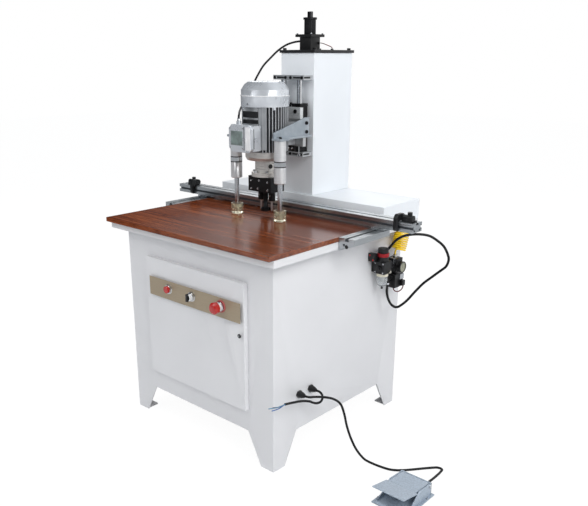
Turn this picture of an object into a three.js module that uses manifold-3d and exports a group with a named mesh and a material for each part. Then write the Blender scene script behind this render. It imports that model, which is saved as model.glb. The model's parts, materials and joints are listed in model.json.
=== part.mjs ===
// Hinge boring machine: a floor-standing, single-head, three-spindle boring machine for cup hinges.
// Millimetres, +Z up. X runs to the operator's right, Y runs away from the operator.
// The model is laid out round the centre spindle's axis (x = 0, y = 0) with the floor at z = 0;
// the last lines move it so that the origin is the middle of the footprint.

import * as THREE from 'three';
import { mergeVertices } from 'three/addons/utils/BufferGeometryUtils.js';
import Module from 'manifold-3d';

const wasm = await Module();
wasm.setup();

// Sizes
// Clearances, shared by all pieces
const fit = 0.3;
const overrun = 4;

// Facet counts
const bigRound = 32;
const midRound = 20;
const rodRound = 16;
const smallRound = 12;

// Table
const tableHeight = 760;
const boardWidth = 806;
const boardThickness = 16;
const boardNose = 21;
const frameWidth = 804;
const frameDepth = 784;
const frameDrop = 25;
const frameSheet = 3;

// Cabinet
const cabinetWidth = 720;
const cabinetDepth = 700;
const cabinetSheet = 3;
const legHeight = 114;
const legToe = 56;
const legShoulder = 115;
const footPlate = 50;
const footThickness = 5;
const doorwayInset = 14;

// Rear plinth and column
const plinthDepth = 228;
const plinthHeight = 74;
const plinthSheet = 3;
const columnWidth = 150;
const columnDepth = 214;
const columnHeight = 505;
const columnSheet = 3;
const capOverhang = 5;
const capThickness = 10;

// Vertical guide
const guideReach = 58;
const guideWidth = 144;
const guideHeight = 16;
const guideSlotWidth = 34;
const guideSlotDepth = 9;
const guideSlotHeight = 6;
const rodRadius = 10;
const rodSpread = 76;
const rodSetback = 38;
const lowerGuideTop = 980.7;
const guideOpening = 251;
const feedStroke = 75;
const blockWidth = 40;
const blockHeight = 170;
const blockRelief = 6;
const sealHeight = 9;
const sealLip = 0.8;
const waistDepth = 5;
const waistLength = 60;

// Feed cylinder and its through-rod
const barrelRadius = 30;
const boreRadius = 25;
const barrelLength = 158;
const headLength = 18;
const mountPlate = 10;
const pistonLength = 20;
const armHalfWidth = 14;
const armHeight = 40;
const armLift = 27;
const slotClearance = 3;
const feedRodY = 238;
const switchBoxSide = 52;
const switchBoxHeight = 44;
const switchFlangeSide = 75;
const switchFlangeThickness = 9;
const nutHeight = 57;
const nutRadius = 21.3;
const nutCollar = 24.8;
const nutCollarHeight = 7;
const nutRibDepth = 1.1;
const nutRibs = 24;
const rodEndHeight = 20;
const rodEndSlot = 4;

// Carriage
const carriageWidth = 173;
const carriageThickness = 16;
const carriageHeight = 96;
const carriageLift = 23;

// Motor
const motorFinRadius = 82;
const motorCoreRadius = 71;
const motorBodyBase = 994;
const motorBodyLength = 152;
const finCount = 44;
const finThickness = 2.6;
const padHalfWidth = 33;
const padReach = 76;
const padSink = 16;
const padLength = 134;
const padGroove = 5;
const padGrooveDepth = 4;
const footHalfWidth = 50;
const motorFootHeight = 80;
const motorFootLift = 16;
const cowlRadius = 84.5;
const cowlBandHeight = 35;
const cowlRingRadius = 85.6;
const cowlRingHeight = 3;
const cowlUpperRadius = 83.5;
const cowlUpperHeight = 21;
const cowlCrownRadius = 60;
const cowlCrownHeight = 24;
const cowlSheet = 2.5;
const cowlSlots = 12;
const cowlSlotWidth = 6;
const cowlSlotInner = 20;
const cowlSlotOuter = 52;
const shaftRadius = 12;
const fanRadius = 68;
const fanHub = 20;
const fanThickness = 4;
const fanBlades = 8;
const fanBladeHeight = 26;
const fanBladeThickness = 3;
const terminalWidth = 110;
const terminalHeight = 81;
const terminalDepth = 49;
const lidDepth = 13;
const lidChamfer = 14;
const terminalStep = 4;
const terminalBossRadius = 9;
const terminalBossHeight = 8;
const terminalBossX = -36;

// End shield, coupling housing and gear head
const shieldRadius = 71;
const shieldHeight = 30.7;
const neckRadius = 37;
const neckHeight = 44;
const neckBore = 27;
const spindleFlangeRadius = 50;
const spindleFlangeHeight = 15;
const sightHoleRadius = 7;
const couplingRadius = 19;
const couplingHeight = 26;
const couplingDrop = 8;
const headWidth = 110;
const headFrontReach = 32;
const headRearReach = 38;
const headHeight = 54;
const gearTeeth = 16;
const gearWidth = 22;
const gearFloor = 12;
const gearRoof = 14;
const gearBacklash = 0.35;
const sideSpindleX = 26;
const sideSpindleY = 5.5;
const spindleRadius = 7;
const pilotLength = 7;

// Chucks and tools
const centreChuckRadius = 10;
const centreChuckLength = 28;
const sideChuckRadius = 12;
const sideChuckLength = 34;
const setScrewRadius = 3;
const cupRadius = 17.5;
const cupHeadHeight = 12;
const cupShankRadius = 8.3;
const cupDrop = 73;
const cupGullet = 9;
const cupSpike = 2.5;
const sideBitRadius = 4;
const sideBitDrop = 71;
const sideBitFlute = 2.2;

// Hold-down clamps
const clampX = 106.5;
const clampY = -40;
const clampRadius = 21;
const clampLength = 146;
const clampBore = 16.5;
const clampWall = 12;
const clampGroove = 3;
const clampGrooveDepth = 1.2;
const clampGrooveDrop = 70;
const clampRodRadius = 8.5;
const clampPistonLength = 15;
const clampTravel = 50;
const clampFootRadius = 22.5;
const clampFootHeight = 37;
const clampFootFloor = 9;
const clampFootWall = 5;
const clampNutRadius = 13;
const clampNutHeight = 16;
const armWeb = 6;
const armFlange = 8;
const armNoseReach = 14;
const armNoseHeight = 18;
const armRearHeight = 68;
const armRearLap = 22;
const armRidge = 34;
const armPadMargin = 2;
const armShelf = 18;

// Fence
const fenceLength = 1146;
const fenceDepth = 57;
const fenceHeight = 32;
const fenceSetback = 76;
const fenceLift = 9;
const slotMouth = 8;
const slotInner = 15;
const slotLip = 2.6;
const slotRoom = 5;
const fenceBoreRadius = 3.6;
const fenceBoreInset = 13;
const barWidth = 64;
const barThickness = 20;
const barWebHeight = 44;
const barFront = -87;
const barRear = 108;
const barSlotWidth = 9;
const barSlotInner = 16;
const barSlotLip = 4;
const barSlotRoom = 6;
const barBoreRadius = 4.2;
const shoeWidth = 52;
const shoeNose = 4;
const tongueDepth = 6;
const tongueLength = 26;

// Fence stops
const leftStopInner = 476;
const rightStopInner = 508;
const stopBodyLength = 50;
const stopBodyDepth = 30;
const stopBodyHeight = 9;
const stopAxisInset = 22;
const stopBarrelRadius = 8;
const stopHubRadius = 12;
const stopArmThickness = 12;
const stopArmWidth = 13;
const stopKnobRadius = 8;
const stopKnobHeight = 13;
const stopKnobNeck = 4;
const stopArmClearance = 1;

// Door and its switches
const doorLeft = -240;
const doorRight = 250;
const doorFloor = 195;
const doorHeight = 441;
const doorDepth = 17.7;
const doorSheet = 2;
const switchHeight = 543;
const buttonX = -107;
const selectorX = 13;
const stopSwitchX = 156;
const bezelRadius = 15;
const bezelBore = 13;
const bezelHeight = 8;
const stemRadius = 8;
const stemBack = 16;
const buttonRadius = 12.7;
const buttonRise = 25;
const buttonTravel = 4;
const selectorRise = 34;
const selectorGrip = 8;
const mushroomRadius = 20;
const mushroomRise = 50;
const mushroomHead = 20;
const mushroomNeck = 11;
const mushroomTravel = 6;

// Air preparation unit on the right panel
const unitX = 398;
const filterY = 180;
const filterBase = 581;
const filterHeight = 44;
const filterSide = 44;
const bowlRadius = 19.5;
const bowlHeight = 52;
const collarRadius = 20;
const collarHeight = 16;
const airKnobRadius = 18.5;
const airKnobHeight = 30;
const airKnobRibs = 20;
const airKnobRibDepth = 1;
const regulatorY = 256;
const regulatorWidth = 40;
const regulatorHeight = 50;
const regulatorBase = 572;
const valveHeight = 50;
const valveWidth = 52;
const valveDepth = 44;
const valveNeck = 7;
const gaugeRadius = 20;
const gaugeDepth = 14;
const gaugeHeight = 592;
const unitLink = 12;
const unitBracket = 14;
const portRadius = 7;
const portLength = 9;
const nippleRadius = 6;
const nippleHeight = 12;
const elbowReach = 14;
const elbowRadius = 6;
const elbowBase = 536;
const elbowHeight = 20;

// Cable glands on the right panel
const glandHeight = 243;
const pedalGlandY = -226;
const mainsGlandY = -167;
const glandThreadRadius = 8;
const glandHexRadius = 13.5;
const glandHexLength = 8;
const glandDomeRadius = 11;
const glandDomeLength = 19;
const glandTipRadius = 6;
const glandInner = 14;

// Foot switch
const pedalX = 752;
const pedalFront = -292;
const pedalRear = -104;
const pedalWidth = 128;
const pedalHeight = 46;
const pedalWall = 4;
const pedalFloor = 4;
const treadleWidth = 114;
const treadleNose = 22;
const treadleThickness = 4;
const treadleHeight = 58;
const treadleArch = 17;
const treadlePivotInset = 16;
const treadlePinRadius = 4;
const treadleLugThickness = 6;
const treadleFlat = 72;

// Cords and hoses
const cordRadius = 4;
const hoseRadius = 4;
const motorCordRadius = 3.6;
const cordSides = 8;
const recoilTube = 3.2;
const recoilRadius = 27;
const recoilPitch = 7.6;
const recoilCurls = 7;
const recoilSides = 5;
const recoilSteps = 8;
const recoilLean = 0.36;
const recoilLead = 22;
const bendSteps = 5;

// Materials
function paint(colour, roughness, metalness) {
  return new THREE.MeshStandardMaterial({ color: colour, roughness, metalness });
}
const whitePaint = paint(0xe6e7ea, 0.45, 0.1);
const blackPaint = paint(0x17181a, 0.45, 0.2);
const brownLaminate = paint(0x6e3524, 0.25, 0.0);
const groundSteel = paint(0xc8cacd, 0.22, 0.95);
const milledSteel = paint(0xa9abae, 0.35, 0.85);
const castAlloy = paint(0xb9bcc0, 0.4, 0.7);
const extrudedAlloy = paint(0xb4b8bb, 0.32, 0.85);
const blackOxide = paint(0x1d1d20, 0.4, 0.6);
const blackPlastic = paint(0x141416, 0.5, 0.0);
const redPlastic = paint(0xb01f1c, 0.35, 0.0);
const yellowRubber = paint(0xc9b36a, 0.35, 0.0);
const blackRubber = paint(0x101011, 0.6, 0.0);
const yellowHose = paint(0xf2b705, 0.4, 0.0);
const greyCasting = paint(0x8b95a3, 0.5, 0.4);

// Solids
function solid(geometry) {
  const bare = geometry.clone();
  bare.deleteAttribute('normal');
  if (bare.getAttribute('uv')) {
    bare.deleteAttribute('uv');
  }
  const merged = mergeVertices(bare, 1e-4);
  const places = merged.getAttribute('position').array;
  const index = merged.index.array;
  const kept = [];
  let volume = 0;
  for (let i = 0; i < index.length; i += 3) {
    const [a, b, c] = [index[i], index[i + 1], index[i + 2]];
    if (a === b || b === c || c === a) {
      continue;
    }
    kept.push(a, b, c);
    const p = new THREE.Vector3().fromArray(places, 3 * a);
    const q = new THREE.Vector3().fromArray(places, 3 * b);
    const r = new THREE.Vector3().fromArray(places, 3 * c);
    volume += p.dot(q.cross(r));
  }
  if (volume < 0) {
    kept.reverse();
  }
  const mesh = new wasm.Mesh({
    numProp: 3,
    vertProperties: new Float32Array(places),
    triVerts: new Uint32Array(kept),
  });
  return new wasm.Manifold(mesh);
}

function geometryOf(shape) {
  const mesh = shape.getMesh();
  const geometry = new THREE.BufferGeometry();
  geometry.setAttribute('position', new THREE.BufferAttribute(new Float32Array(mesh.vertProperties), 3));
  geometry.setIndex(new THREE.BufferAttribute(new Uint32Array(mesh.triVerts), 1));
  geometry.computeVertexNormals();
  return geometry;
}

function block(x0, x1, y0, y1, z0, z1) {
  const geometry = new THREE.BoxGeometry(x1 - x0, y1 - y0, z1 - z0);
  geometry.translate((x0 + x1) / 2, (y0 + y1) / 2, (z0 + z1) / 2);
  return solid(geometry);
}

function outlineShape(points) {
  const shape = new THREE.Shape();
  points.forEach(([a, b], i) => (i ? shape.lineTo(a, b) : shape.moveTo(a, b)));
  shape.closePath();
  return shape;
}

// A flat outline pulled along one axis: outlines are given in (x, y), (x, z) or (y, z).
function pull(points, axis, from, to) {
  const depth = to - from;
  const geometry = new THREE.ExtrudeGeometry(outlineShape(points), { depth, bevelEnabled: false, steps: 1 });
  const basis = new THREE.Matrix4();
  if (axis === 'x') {
    basis.set(0, 0, 1, from, 1, 0, 0, 0, 0, 1, 0, 0, 0, 0, 0, 1);
  } else if (axis === 'y') {
    basis.set(1, 0, 0, 0, 0, 0, -1, to, 0, 1, 0, 0, 0, 0, 0, 1);
  } else {
    basis.set(1, 0, 0, 0, 0, 1, 0, 0, 0, 0, 1, from, 0, 0, 0, 1);
  }
  geometry.applyMatrix4(basis);
  return solid(geometry);
}

// A turned piece: the profile is [radius, height] along the axis, which starts at (a, b).
function turned(profile, axis, a, b, steps) {
  const points = profile.map(([r, h]) => new THREE.Vector2(r, h));
  if (profile[0][0] > 0 || profile[profile.length - 1][0] > 0) {
    points.push(points[0].clone());
  }
  const geometry = new THREE.LatheGeometry(points, steps);
  const basis = new THREE.Matrix4();
  if (axis === 'x') {
    basis.set(0, 1, 0, 0, 0, 0, 1, a, 1, 0, 0, b, 0, 0, 0, 1);
  } else if (axis === 'y') {
    basis.set(0, 0, 1, a, 0, 1, 0, 0, 1, 0, 0, b, 0, 0, 0, 1);
  } else {
    basis.set(1, 0, 0, a, 0, 0, 1, b, 0, 1, 0, 0, 0, 0, 0, 1);
  }
  geometry.applyMatrix4(basis);
  return solid(geometry);
}

function round(radius, axis, from, to, a, b, steps) {
  return turned([[0, from], [radius, from], [radius, to], [0, to]], axis, a, b, steps);
}

function cut(body, ...tools) {
  return tools.reduce((left, tool) => left.subtract(tool), body);
}

function join(body, ...more) {
  return more.reduce((left, extra) => left.add(extra), body);
}

function mirrored(points) {
  return points.map(([a, b]) => [-a, b]).reverse();
}

const machine = new THREE.Group();
const loose = new THREE.Group();

function piece(name, shape, material, group = machine) {
  const mesh = new THREE.Mesh(geometryOf(shape), material);
  mesh.name = name;
  group.add(mesh);
  return mesh;
}

// Derived levels
const boardBottom = tableHeight - boardThickness;
const frameTop = boardBottom - fit;
const cabinetTop = frameTop - frameSheet - fit;
const frameRear = frameDepth / 2;
const frameFront = -frameRear;
const plinthFront = frameRear - plinthDepth;
const plinthBase = boardBottom;
const plinthTop = plinthBase + plinthHeight;
const columnFront = frameRear - columnDepth;
const columnBase = plinthTop + fit;
const columnTop = columnBase + columnHeight;
const capBase = columnTop + fit;
const capTop = capBase + capThickness;
const guideFront = columnFront - guideReach;
const guideRear = columnFront - fit;
const rodX = rodSpread / 2;
const rodY = columnFront - rodSetback;
const upperGuideBase = lowerGuideTop + guideOpening;
const blockBase = lowerGuideTop + fit;
const blockTop = blockBase + blockHeight;
const blockFront = rodY - blockWidth / 2;
const carriageBack = blockFront - fit;
const carriageFront = carriageBack - carriageThickness;
const carriageBase = blockBase + carriageLift;
const carriageTop = carriageBase + carriageHeight;
const armBase = blockBase + armLift;
const armTop = armBase + armHeight;

// Table and cabinet
function legCut(halfSpan, toe, shoulder, axis, from, to) {
  const foot = halfSpan - toe;
  const knee = halfSpan - shoulder;
  const outline = [[-foot, -overrun], [foot, -overrun], [foot, 0], [knee, legHeight], [-knee, legHeight], [-foot, 0]];
  return pull(outline, axis, from, to);
}

function makeCabinet() {
  const x = cabinetWidth / 2;
  const y = cabinetDepth / 2;
  const wall = cabinetSheet;
  const shell = cut(
    block(-x, x, -y, y, 0, cabinetTop),
    block(-x + wall, x - wall, -y + wall, y - wall, -overrun, cabinetTop + overrun),
    legCut(x, legToe, legShoulder, 'y', -y - overrun, y + overrun),
    legCut(y, legToe, legShoulder, 'x', -x - overrun, x + overrun),
  );
  const doorway = block(
    doorLeft + doorwayInset, doorRight - doorwayInset,
    -y - overrun, -y + wall + overrun,
    doorFloor + doorwayInset, doorFloor + doorHeight - doorwayInset,
  );
  const feet = [];
  for (const sx of [-1, 1]) {
    for (const sy of [-1, 1]) {
      const [xa, xb] = [sx * (x - footPlate), sx * x].sort((p, q) => p - q);
      const [ya, yb] = [sy * (y - footPlate), sy * y].sort((p, q) => p - q);
      feet.push(block(xa, xb, ya, yb, 0, footThickness));
    }
  }
  const glandHoles = [pedalGlandY, mainsGlandY].map((gy) => (
    round(glandThreadRadius + fit, 'x', x - wall - overrun, x + overrun, gy, glandHeight, rodRound)
  ));
  return cut(join(shell, ...feet), doorway, ...glandHoles);
}

function makeTopFrame() {
  const x = frameWidth / 2;
  const pan = block(-x, x, frameFront, frameRear, frameTop - frameDrop, frameTop);
  const room = block(
    -x + frameSheet, x - frameSheet,
    frameFront + frameSheet, frameRear - frameSheet,
    frameTop - frameDrop - overrun, frameTop - frameSheet,
  );
  return cut(pan, room);
}

function makeBoard() {
  const x = boardWidth / 2;
  return block(-x, x, frameFront - boardNose, plinthFront - fit, boardBottom, tableHeight);
}

function makePlinth() {
  const x = boardWidth / 2;
  const wall = plinthSheet;
  const box = block(-x, x, plinthFront, frameRear, plinthBase, plinthTop);
  const room = block(-x + wall, x - wall, plinthFront + wall, frameRear - wall, plinthBase - overrun, plinthTop - wall);
  return cut(box, room);
}

function makeColumn() {
  const x = columnWidth / 2;
  const wall = columnSheet;
  const tube = cut(
    block(-x, x, columnFront, frameRear, columnBase, columnTop),
    block(-x + wall, x - wall, columnFront + wall, frameRear - wall, columnBase - overrun, columnTop + overrun),
  );
  const half = armHalfWidth + slotClearance;
  const slot = block(
    -half, half, columnFront - overrun, columnFront + wall + overrun,
    armBase - slotClearance, armTop + feedStroke + slotClearance,
  );
  return cut(tube, slot);
}

function makeCap() {
  const x = columnWidth / 2 + capOverhang;
  const plate = block(-x, x, columnFront - capOverhang, frameRear + capOverhang, capBase, capTop);
  return cut(plate, round(rodRadius + fit, 'z', capBase - overrun, capTop + overrun, 0, feedRodY, rodRound));
}

piece('cabinet', makeCabinet(), whitePaint);
piece('top_frame', makeTopFrame(), whitePaint);
piece('work_board', makeBoard(), brownLaminate);
piece('plinth', makePlinth(), whitePaint);
piece('column', makeColumn(), whitePaint);
piece('column_cap', makeCap(), blackPaint);

// Guide
function makeGuidePlate(base) {
  const x = guideWidth / 2;
  const top = base + guideHeight;
  const mid = (base + top) / 2;
  const plate = block(-x, x, guideFront, guideRear, base, top);
  const bores = [-rodX, rodX].map((bx) => (
    round(rodRadius + fit, 'z', base - overrun, top + overrun, bx, rodY, midRound)
  ));
  const slots = [-rodX, rodX].map((sx) => (
    block(
      sx - guideSlotWidth / 2, sx + guideSlotWidth / 2, guideFront - overrun, guideFront + guideSlotDepth,
      mid - guideSlotHeight / 2, mid + guideSlotHeight / 2,
    )
  ));
  const sides = [-x, x].map((sx) => (
    block(
      sx - guideSlotDepth / 2, sx + guideSlotDepth / 2, rodY - guideSlotWidth / 2, rodY + guideSlotWidth / 2,
      mid - guideSlotHeight / 2, mid + guideSlotHeight / 2,
    )
  ));
  return cut(plate, ...bores, ...slots, ...sides);
}

function makeGuideRod(x) {
  const base = lowerGuideTop - guideHeight;
  const top = upperGuideBase + guideHeight;
  return round(rodRadius, 'z', base, top, x, rodY, rodRound);
}

function makeGuideBlock(x) {
  const half = blockWidth / 2;
  const body = block(x - half, x + half, rodY - half, rodY + half, blockBase, blockTop - sealHeight);
  const seal = block(
    x - half - sealLip, x + half + sealLip, rodY - half + fit, rodY + half + sealLip,
    blockTop - sealHeight, blockTop,
  );
  const waist = block(
    x - half - overrun, x + half + overrun, rodY + half - waistDepth, rodY + half + overrun,
    blockBase + (blockHeight - waistLength) / 2, blockBase + (blockHeight + waistLength) / 2,
  );
  const bore = round(rodRadius + fit, 'z', blockBase - overrun, blockTop + overrun, x, rodY, midRound);
  return cut(join(body, seal), waist, bore);
}

piece('guide_plate_upper', makeGuidePlate(upperGuideBase), castAlloy);
piece('guide_plate_lower', makeGuidePlate(lowerGuideTop - guideHeight), castAlloy);
piece('guide_rod_left', makeGuideRod(-rodX), groundSteel);
piece('guide_rod_right', makeGuideRod(rodX), groundSteel);
piece('guide_block_left', makeGuideBlock(-rodX), castAlloy);
piece('guide_block_right', makeGuideBlock(rodX), castAlloy);

function makeCarriage() {
  const x = carriageWidth / 2;
  return block(-x, x, carriageFront, carriageBack, carriageBase, carriageTop);
}
piece('carriage_plate', makeCarriage(), milledSteel);

// Feed cylinder
const barrelBase = armTop + feedStroke + armHalfWidth / 2;
const barrelTop = barrelBase + barrelLength;
const switchBoxBase = capTop + fit;
const switchFlangeBase = switchBoxBase + switchBoxHeight;
const nutBase = switchFlangeBase + switchFlangeThickness + fit;
const nutTop = nutBase + nutHeight;

function makeFeedCylinder() {
  const x = columnWidth / 2 - columnSheet - fit;
  const front = columnFront + columnSheet + fit;
  const rear = frameRear - columnSheet - fit;
  const barrel = round(barrelRadius, 'z', barrelBase, barrelTop, 0, feedRodY, midRound);
  const plate = block(-x, x, front, rear, barrelTop - mountPlate, barrelTop);
  const bore = round(boreRadius, 'z', barrelBase + headLength, barrelTop - headLength, 0, feedRodY, midRound);
  const glands = round(rodRadius + fit, 'z', barrelBase - overrun, barrelTop + overrun, 0, feedRodY, rodRound);
  return cut(join(barrel, plate), bore, glands);
}

function makeFeedRod() {
  const top = nutTop + rodEndHeight;
  const rod = round(rodRadius, 'z', armBase, top, 0, feedRodY, rodRound);
  const pistonBase = barrelBase + headLength + fit;
  const piston = round(boreRadius - fit, 'z', pistonBase, pistonBase + pistonLength, 0, feedRodY, midRound);
  const arm = block(-armHalfWidth, armHalfWidth, blockFront, feedRodY + armHalfWidth, armBase, armTop);
  const slot = block(
    -rodEndSlot / 2, rodEndSlot / 2, feedRodY - rodRadius - overrun, feedRodY + rodRadius + overrun,
    top - rodEndHeight / 2, top + overrun,
  );
  return cut(join(rod, piston, arm), slot);
}

function makeSwitchBox() {
  const half = switchBoxSide / 2;
  const wide = switchFlangeSide / 2;
  const box = block(-half, half, feedRodY - half, feedRodY + half, switchBoxBase, switchFlangeBase);
  const flangeTop = switchFlangeBase + switchFlangeThickness;
  const flange = block(-wide, wide, feedRodY - wide, feedRodY + wide, switchFlangeBase, flangeTop);
  const bore = round(rodRadius + fit, 'z', switchBoxBase - overrun, flangeTop + overrun, 0, feedRodY, rodRound);
  return cut(join(box, flange), bore);
}

// An outline with evenly spaced ribs round it.
function ribbedOutline(radius, depth, ribs, cx, cy) {
  const points = [];
  for (let i = 0; i < 2 * ribs; i += 1) {
    const r = i % 2 ? radius - depth : radius;
    const a = (i / (2 * ribs)) * 2 * Math.PI;
    points.push([cx + r * Math.cos(a), cy + r * Math.sin(a)]);
  }
  return points;
}

function makeNut() {
  const ribs = pull(ribbedOutline(nutRadius, nutRibDepth, nutRibs, 0, feedRodY), 'z', nutBase, nutTop - nutCollarHeight);
  const collar = round(nutCollar, 'z', nutTop - nutCollarHeight, nutTop, 0, feedRodY, midRound);
  const thread = round(rodRadius + fit, 'z', nutBase - overrun, nutTop + overrun, 0, feedRodY, rodRound);
  return cut(join(ribs, collar), thread);
}

piece('feed_cylinder', makeFeedCylinder(), castAlloy);
piece('feed_rod', makeFeedRod(), blackOxide);
piece('switch_box', makeSwitchBox(), blackPlastic);
piece('stroke_nut', makeNut(), blackOxide);

// Motor
const motorTop = motorBodyBase + motorBodyLength;
const cowlBase = motorTop + fit;
const shieldTop = motorBodyBase - fit;
const shieldBase = shieldTop - shieldHeight;
const neckBase = shieldBase - neckHeight;
const flangeBase = neckBase - spindleFlangeHeight;
const headTop = flangeBase - fit;
const headBase = headTop - headHeight;

function finOutline() {
  const points = [];
  const frontHalf = Math.asin(padHalfWidth / motorCoreRadius);
  const rearHalf = Math.asin(footHalfWidth / motorCoreRadius);
  const root = (0.7 * finThickness) / motorCoreRadius;
  const tip = (0.5 * finThickness) / motorFinRadius;
  for (let i = 0; i < finCount; i += 1) {
    const a = ((i + 0.5) / finCount) * 2 * Math.PI;
    const fromFront = Math.abs(Math.atan2(Math.sin(a + Math.PI / 2), Math.cos(a + Math.PI / 2)));
    const fromRear = Math.PI - fromFront;
    const steps = [[motorCoreRadius, a - root], [motorFinRadius, a - tip], [motorFinRadius, a + tip], [motorCoreRadius, a + root]];
    if (fromFront < frontHalf + root || fromRear < rearHalf + root) {
      points.push([motorCoreRadius * Math.cos(a), motorCoreRadius * Math.sin(a)]);
    } else {
      steps.forEach(([r, t]) => points.push([r * Math.cos(t), r * Math.sin(t)]));
    }
  }
  return points;
}

function makeMotorBody() {
  const fins = pull(finOutline(), 'z', motorBodyBase, motorTop);
  const padBase = motorTop - padLength;
  const pad = block(-padHalfWidth, padHalfWidth, -padReach, -padReach + padSink, padBase, motorTop);
  const foot = block(
    -footHalfWidth, footHalfWidth, motorCoreRadius - padSink, carriageFront - fit,
    motorBodyBase + motorFootLift, motorBodyBase + motorFootLift + motorFootHeight,
  );
  const grooves = [1, 2].map((n) => {
    const level = terminalTop + (n / 3) * (motorTop - terminalTop);
    return block(
      -padHalfWidth - overrun, padHalfWidth + overrun, -padReach - overrun, -padReach + padGrooveDepth,
      level - padGroove / 2, level + padGroove / 2,
    );
  });
  const bore = round(shaftRadius + fit, 'z', motorBodyBase - overrun, motorTop + overrun, 0, 0, rodRound);
  return cut(join(fins, pad, foot), ...grooves, bore);
}

const terminalTop = motorTop - padLength + terminalHeight + terminalStep;

function makeCowl() {
  const band = cowlBase + cowlBandHeight;
  const ring = band + cowlRingHeight;
  const shoulder = ring + cowlUpperHeight;
  const crown = shoulder + cowlCrownHeight;
  const profile = [
    [cowlRadius, cowlBase], [cowlRadius, band], [cowlRingRadius, band], [cowlRingRadius, ring],
    [cowlUpperRadius, ring], [cowlUpperRadius, shoulder - cowlSheet],
    [cowlUpperRadius - cowlSheet, shoulder], [(cowlUpperRadius + cowlCrownRadius) / 2, shoulder + 0.6 * cowlCrownHeight],
    [cowlCrownRadius, crown - cowlSheet / 2], [cowlCrownRadius - cowlSheet, crown], [0, crown], [0, crown - cowlSheet],
    [cowlCrownRadius - 2 * cowlSheet, crown - cowlSheet],
    [(cowlUpperRadius + cowlCrownRadius) / 2 - cowlSheet, shoulder + 0.6 * cowlCrownHeight - cowlSheet],
    [cowlUpperRadius - 2 * cowlSheet, shoulder - cowlSheet], [cowlRadius - cowlSheet, band], [cowlRadius - cowlSheet, cowlBase],
  ];
  const shell = turned(profile, 'z', 0, 0, bigRound);
  const cutters = [];
  for (let i = 0; i < cowlSlots; i += 1) {
    const a = (i / cowlSlots) * 2 * Math.PI;
    const slot = new THREE.BoxGeometry(cowlSlotOuter - cowlSlotInner, cowlSlotWidth, 4 * cowlSheet);
    slot.translate((cowlSlotOuter + cowlSlotInner) / 2, 0, crown);
    slot.rotateZ(a);
    cutters.push(solid(slot));
  }
  return cut(shell, ...cutters);
}

function makeRotor() {
  const fanBase = cowlBase + cowlBandHeight / 2;
  const couplingTop = shieldBase - couplingDrop;
  const shaft = round(shaftRadius, 'z', couplingTop - couplingHeight, fanBase + fanBladeHeight, 0, 0, rodRound);
  const coupling = round(couplingRadius, 'z', couplingTop - couplingHeight, couplingTop, 0, 0, rodRound);
  const plate = round(fanRadius, 'z', fanBase, fanBase + fanThickness, 0, 0, midRound);
  const hub = round(fanHub, 'z', fanBase, fanBase + fanBladeHeight, 0, 0, rodRound);
  const blades = [];
  for (let i = 0; i < fanBlades; i += 1) {
    const blade = new THREE.BoxGeometry(fanRadius - fanHub, fanBladeThickness, fanBladeHeight);
    blade.translate((fanRadius + fanHub) / 2 - fanThickness, 0, fanBase + fanBladeHeight / 2);
    blade.rotateZ((i / fanBlades) * 2 * Math.PI);
    blades.push(solid(blade));
  }
  return join(shaft, coupling, plate, hub, ...blades);
}

function makeEndShield() {
  const profile = [
    [shaftRadius + fit, shieldTop], [shieldRadius, shieldTop], [shieldRadius, shieldBase + shieldHeight / 3],
    [shieldRadius - shieldHeight / 6, shieldBase], [neckRadius, shieldBase], [neckRadius, neckBase],
    [spindleFlangeRadius, neckBase], [spindleFlangeRadius, flangeBase], [neckBore, flangeBase],
    [neckBore, shieldBase - couplingDrop / 2], [shaftRadius + fit, shieldBase - couplingDrop / 2],
  ];
  const body = turned(profile, 'z', 0, 0, bigRound);
  const sight = new THREE.CylinderGeometry(sightHoleRadius, sightHoleRadius, neckRadius, smallRound);
  sight.rotateZ(Math.PI / 2);
  sight.translate(neckRadius, 0, neckBase + neckHeight / 2);
  sight.rotateZ(THREE.MathUtils.degToRad(-17));
  return cut(body, solid(sight));
}

function makeTerminalBox() {
  const x = terminalWidth / 2;
  const base = terminalTop - terminalHeight;
  const back = -padReach - fit;
  const front = back - terminalDepth;
  const lidBack = front + lidDepth;
  const c = lidChamfer;
  const lid = [
    [-x + c, base], [x - c, base], [x, base + c], [x, terminalTop - c],
    [x - c, terminalTop], [-x + c, terminalTop], [-x, terminalTop - c], [-x, base + c],
  ];
  const boss = round(
    terminalBossRadius, 'z', terminalTop - 2 * terminalStep, terminalTop + terminalBossHeight,
    terminalBossX, (lidBack + back) / 2, smallRound,
  );
  return join(
    pull(lid, 'y', front, lidBack),
    block(-x + terminalStep, x - terminalStep, lidBack, back, base + terminalStep, terminalTop - terminalStep),
    boss,
  );
}

piece('motor_body', makeMotorBody(), castAlloy);
piece('fan_cowl', makeCowl(), castAlloy);
piece('rotor_shaft', makeRotor(), milledSteel);
piece('end_shield', makeEndShield(), castAlloy);
piece('terminal_box', makeTerminalBox(), castAlloy);

// Gear head and spindles
const gearCentres = Math.hypot(sideSpindleX, sideSpindleY);
const gearPitch = gearCentres / 2;
const gearModule = (2 * gearPitch) / gearTeeth;
const gearTip = gearPitch + 0.85 * gearModule;
const gearRoot = gearPitch - 1.1 * gearModule;
const gearBase = headBase + gearFloor;
const gearTop = gearBase + gearWidth;
const cavityTop = headTop - gearRoof;

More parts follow.
